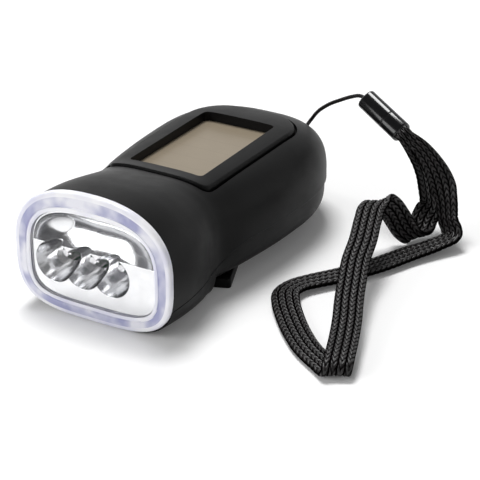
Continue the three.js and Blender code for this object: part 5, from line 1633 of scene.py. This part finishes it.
@dataclass
class Lanyard:
    """Cord from the tail, the bead on it and the flat strap."""

    wardrobe: Wardrobe
    eye_start: float = 51.6
    cord_radius: float = 0.6
    cord_sides: int = 20
    cord_steps: int = 240
    cord_twist: float = 0.55
    cord_swell: Pair = (0.92, 0.12)
    bead_start: Triple = (29.5, 50.8, 36)
    bead_end: Triple = (44.6, 44.7, 30.3)
    bead_wide: Triple = (0.482, 0.568, 0.668)
    bead_half: Pair = (3.2, 2.6)
    bead_corner: float = 0.7
    bead_power: float = 0.74
    bead_groove: Pair = (0.62, 0.22)
    groove_steps: Table = ((0.3, 0), (0.22, 0.3), (0.1, 1))
    bead_hole: Table = ((-1, 1.15), (0.5, 0.8), (3.5, 0.8))
    strap_half: Pair = (4.0, 0.95)
    strap_end_half: float = 2.3
    strap_neck: float = 24.0
    strap_step: float = 0.26
    strap_sides: int = 84
    strap_relief: Pair = (0.5, 0.55)
    strap_edge_power: float = 7
    ribs: int = 4
    rib_crown: Pair = (0.38, 0.54)
    stitch: float = 1.9
    lean: float = 0.9

    def braid(self, name: str, rings: Rings, lifts: Rings, degrees: float, solid: str) -> Thing:
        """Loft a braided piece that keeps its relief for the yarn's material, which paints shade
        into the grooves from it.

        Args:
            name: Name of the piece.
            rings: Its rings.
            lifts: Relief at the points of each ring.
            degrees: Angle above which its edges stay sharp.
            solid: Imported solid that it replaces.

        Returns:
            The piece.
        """
        made = loft(name, rings)
        values = np.ones(len(made.data.vertices), np.float32)
        flat = np.concatenate(lifts)
        values[:len(flat)] = flat
        made.data.attributes.new("lift", "FLOAT", "POINT").data.foreach_set("value", values)
        return self.wardrobe.fit(made, "housing", Finish.YARN, solid, degrees=degrees)

    def cord(self) -> tuple[Thing, np.ndarray]:
        """Round cord from the eye to the bead.

        Returns:
            The piece and the places that it follows, in millimetres.
        """
        places = smooth_route(np.array(CORD_ROUTE, float), self.cord_steps)
        places = places[int(np.argmax(places[:, 1] > self.eye_start)):]
        side = np.array([0.0, 0.0, 1.0])
        angle = np.linspace(0, 2 * math.pi, self.cord_sides, endpoint=False)
        thin, swell = self.cord_swell
        rings, lifts = [], []
        for i, (place, along) in enumerate(zip(places, unit(np.gradient(places, axis=0)))):
            side = unit(side - along * side.dot(along))
            twist = i * self.cord_twist
            relief = np.abs(np.sin(3 * angle + twist)) * np.abs(np.sin(3 * angle - twist))
            # The cord's relief also feeds the yarn's painted shade in its twists
            lifts.append(0.5 + 0.5 * relief)
            radius = self.cord_radius * (thin + swell * relief)
            rings.append(spread(place, np.cos(angle) * radius, side, np.sin(angle) * radius,
                                np.cross(along, side)))
        return self.braid("torch_cord", rings, lifts, 60, "lanyard_cord"), places

    def bead(self) -> Thing:
        """Barrel with a groove round it and a hole for the cord.

        Returns:
            The piece.
        """
        start, end = np.array(self.bead_start), np.array(self.bead_end)
        length = float(np.linalg.norm(end - start))
        axis = (end - start) / length
        thick = unit(np.cross(axis, np.array(self.bead_wide)))
        wide = np.cross(thick, axis)
        share, depth = self.bead_groove
        dip = [(at, depth * sunk) for at, sunk in self.groove_steps]
        corner, groove = round_edge(self.bead_corner, 7), length * share
        steps = [*corner, *[(groove - at, inset) for at, inset in dip],
                 *[(groove + at, inset) for at, inset in reversed(dip)],
                 *[(length - at, inset) for at, inset in reversed(corner)]]
        x, y = (np.sign(part) * np.abs(part) ** self.bead_power for part in circle(96))
        a, b = self.bead_half
        made = loft("torch_bead", [
            spread(start + axis * at, x * (a - inset), wide, y * (b - inset), thick)
            for at, inset in steps])
        c, s = circle(32)
        hole = [spread(start + axis * at, c * r, wide, s * r, thick) for at, r in self.bead_hole]
        made = shaped(made, (Cut.TAKE, loft("hole", hole)))
        return self.wardrobe.fit(made, "housing", Finish.BEAD, "lanyard_bead")

    def relief(self, across: np.ndarray, along: float) -> np.ndarray:
        """Height of the braid's face, from 0 between stitches to 1 on them.

        Args:
            across: Shares across the strap, from -1 to 1.
            along: Place along it.

        Returns:
            A height for each share.
        """
        rib = (across + 1) / 2 * self.ribs
        index = np.clip(np.floor(rib), 0, self.ribs - 1)
        column = np.abs((rib - index) * 2 - 1)
        phase = along / self.stitch + column * self.lean + index % 2 / 2
        run = np.mod(phase, 1) * 2 - 1
        crown, reach = self.rib_crown
        ridge = np.clip(1 - np.abs((column - crown) / reach) ** 3, 0, 1)
        return np.sqrt(1 - run ** 2) * np.sqrt(ridge)

    def strap(self) -> Thing:
        """Flat braided strap in one loop.

        Returns:
            The piece.
        """
        table = np.array(STRAP_ROUTE, float)
        length = float(run_of(smooth_route(table, 400)[:, :3])[-1])
        steps = int(length / self.strap_step)
        route = smooth_route(table, steps)
        places = route[:, :3]
        way = unit(np.gradient(places, axis=0))
        thick = unit(np.cross(way, route[:, 3:]))
        wide = np.cross(thick, way)
        face = np.linspace(-1, 1, self.strap_sides // 2)
        across = np.concatenate([face, face[::-1]])
        up = np.repeat([1.0, -1.0], len(face))
        up = up * np.clip(1 - np.abs(across) ** self.strap_edge_power, 0.02, 1) ** 0.5
        (full, thin), (floor, rise) = self.strap_half, self.strap_relief
        rings, lifts = [], []
        for i, place in enumerate(places):
            grown = eased(min(i, steps - i) / steps * length, 0, self.strap_neck)
            half = self.strap_end_half + (full - self.strap_end_half) * grown
            # The relief also sets the yarn's painted shade between stitches
            lift = self.relief(across, i * self.strap_step)
            lifts.append(lift)
            rings.append(spread(place, across * half, wide[i], up * (thin * (floor + rise * lift)),
                                thick[i]))
        return self.braid("torch_strap", rings, lifts, 75, "wrist_strap")

    def build(self) -> None:
        cord, places = self.cord()
        bead = self.bead()
        self.strap()


# Studio


@dataclass
class Studio:
    """Camera, pale floor and plain soft light."""

    eye: Triple = (0.2370, -0.3795, 0.2226)
    aim: Triple = (0.01062, 0.00798, 0.00224)
    upward: Triple = (-0.2224, 0.3806, 0.8976)
    focal: float = 127.18
    sensor: float = 36
    lit_place: Triple = (0, 0, 0.02)
    ambient: float = 0.22
    floor_half: float = 3.0
    floor_grey: float = 0.97
    floor_roughness: float = 0.9
    floor_specular: float = 0.1
    floor_white: Pair = (0.07, 1)
    floor_fade: Pair = (0.13, 0.45)

    def camera(self) -> None:
        """Place the camera."""
        data = bpy.data.cameras.new("camera")
        data.lens = self.focal
        data.sensor_width = self.sensor
        made = bpy.data.objects.new("camera", data)
        back = (Vector(self.eye) - Vector(self.aim)).normalized()
        right = Vector(self.upward).cross(back).normalized()
        turn = Matrix((right, back.cross(right), back)).transposed().to_4x4()
        made.matrix_world = Matrix.Translation(Vector(self.eye)) @ turn
        bpy.context.scene.collection.objects.link(made)
        bpy.context.scene.camera = made

    def lamp(self, name: str, place: Triple, size: Pair, power: float) -> None:
        """One soft panel of light that faces the torch.

        Args:
            name: Name of the lamp.
            place: Where it hangs.
            size: Its width and height.
            power: Its power in watts.
        """
        data = bpy.data.lights.new(name, "AREA")
        data.shape = "RECTANGLE"
        data.size, data.size_y = size
        data.energy = power
        made = bpy.data.objects.new(name, data)
        made.location = place
        way = Vector(self.lit_place) - Vector(place)
        made.rotation_euler = way.to_track_quat("-Z", "Y").to_euler()
        bpy.context.scene.collection.objects.link(made)

    def white_seen(self, graph: Graph, plain: Socket, kind: str, share: Value,
                   strength: Value) -> Socket:
        """Mix a shader with white for camera, glossy and transmission rays.

        Args:
            graph: Graph that gets the nodes.
            plain: Shader for all other rays.
            kind: Kind of the white shader.
            share: How much white is mixed in.
            strength: Strength of the white.

        Returns:
            The mixed shader.
        """
        rays = graph.add("LightPath").outputs
        seen = graph.maths("MAXIMUM", rays["Is Camera Ray"], rays["Is Glossy Ray"])
        seen = graph.maths("MAXIMUM", seen, rays["Is Transmission Ray"])
        white = graph.add(kind, {"Color": WHITE, "Strength": strength}).outputs[0]
        return graph.add("MixShader", {"Fac": graph.maths("MULTIPLY", seen, share), 1: plain,
                                       2: white}).outputs["Shader"]

    def world(self) -> None:
        """Soft surroundings: white for the camera and behind, dim in front and overhead."""
        world = bpy.data.worlds.new("surroundings")
        bpy.context.scene.world = world
        world.use_nodes = True
        graph = Graph(world.node_tree)
        place = graph.place("Generated")
        front = graph.stretched(graph.axis(place, "Y"), 0.1, 1, -0.3, 0.15)
        above = graph.stretched(graph.axis(place, "Z"), 1, 0.45, 0.25, 0.75)
        strength = graph.maths("MAXIMUM", graph.add("LightPath").outputs["Is Camera Ray"],
                               graph.maths("MULTIPLY", front, above))
        plain = graph.tree.nodes["Background"]
        graph.fill(plain, {"Color": WHITE, "Strength": self.ambient})
        shade = self.white_seen(graph, plain.outputs["Background"], "Background", 1, strength)
        graph.fill(graph.tree.nodes["World Output"], {"Surface": shade})

    def floor(self) -> None:
        """Pale floor that keeps the shadow near the torch and is clear from below."""
        half = self.floor_half / MM
        points = [(-half, -half, 0), (half, -half, 0), (half, half, 0), (-half, half, 0)]
        made = mesh_object("floor", points, [(0, 1, 2, 3)], closed=False)
        material, graph, shader = new_material("pale_floor")
        graph.fill(shader, {"Base Color": (*[self.floor_grey] * 3, 1),
                            "Roughness": self.floor_roughness,
                            "Specular IOR Level": self.floor_specular})
        away = graph.add("VectorMath", {0: graph.place()}, operation="LENGTH").outputs["Value"]
        share = graph.stretched(away, *self.floor_white, *self.floor_fade)
        shade = graph.add("MixShader", {
            "Fac": graph.add("NewGeometry").outputs["Backfacing"],
            1: self.white_seen(graph, shader.outputs["BSDF"], "Emission", share, 1),
            2: graph.add("BsdfTransparent").outputs["BSDF"],
        })
        graph.fill(graph.tree.nodes["Material Output"], {"Surface": shade.outputs["Shader"]})
        made.data.materials.append(material)
        made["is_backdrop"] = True

    def build(self) -> None:
        """Make the surroundings and the lamps."""
        bpy.context.scene.view_settings.view_transform = "Standard"
        self.world()
        self.floor()
        self.lamp("key", (-0.25, 0.2, 1.0), (0.45, 0.4), 10)
        self.lamp("fill", (-0.5, -0.85, 0.5), (0.8, 0.5), 5)


def corners() -> list[list[float]]:
    """Lowest and highest corner of what is shown."""
    return [list(corner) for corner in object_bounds()]


def main() -> None:
    """Make the scene."""
    logging.basicConfig(level=logging.INFO, format="%(name)s: %(message)s")
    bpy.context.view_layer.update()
    wardrobe = Wardrobe()
    studio = Studio()
    studio.camera()
    for part in (Lanyard, Shells, LightHead, Mechanism, CrankArm, SlideSwitch, Screws):
        part(wardrobe).build()
    studio.build()


if __name__ == "__main__":
    main()
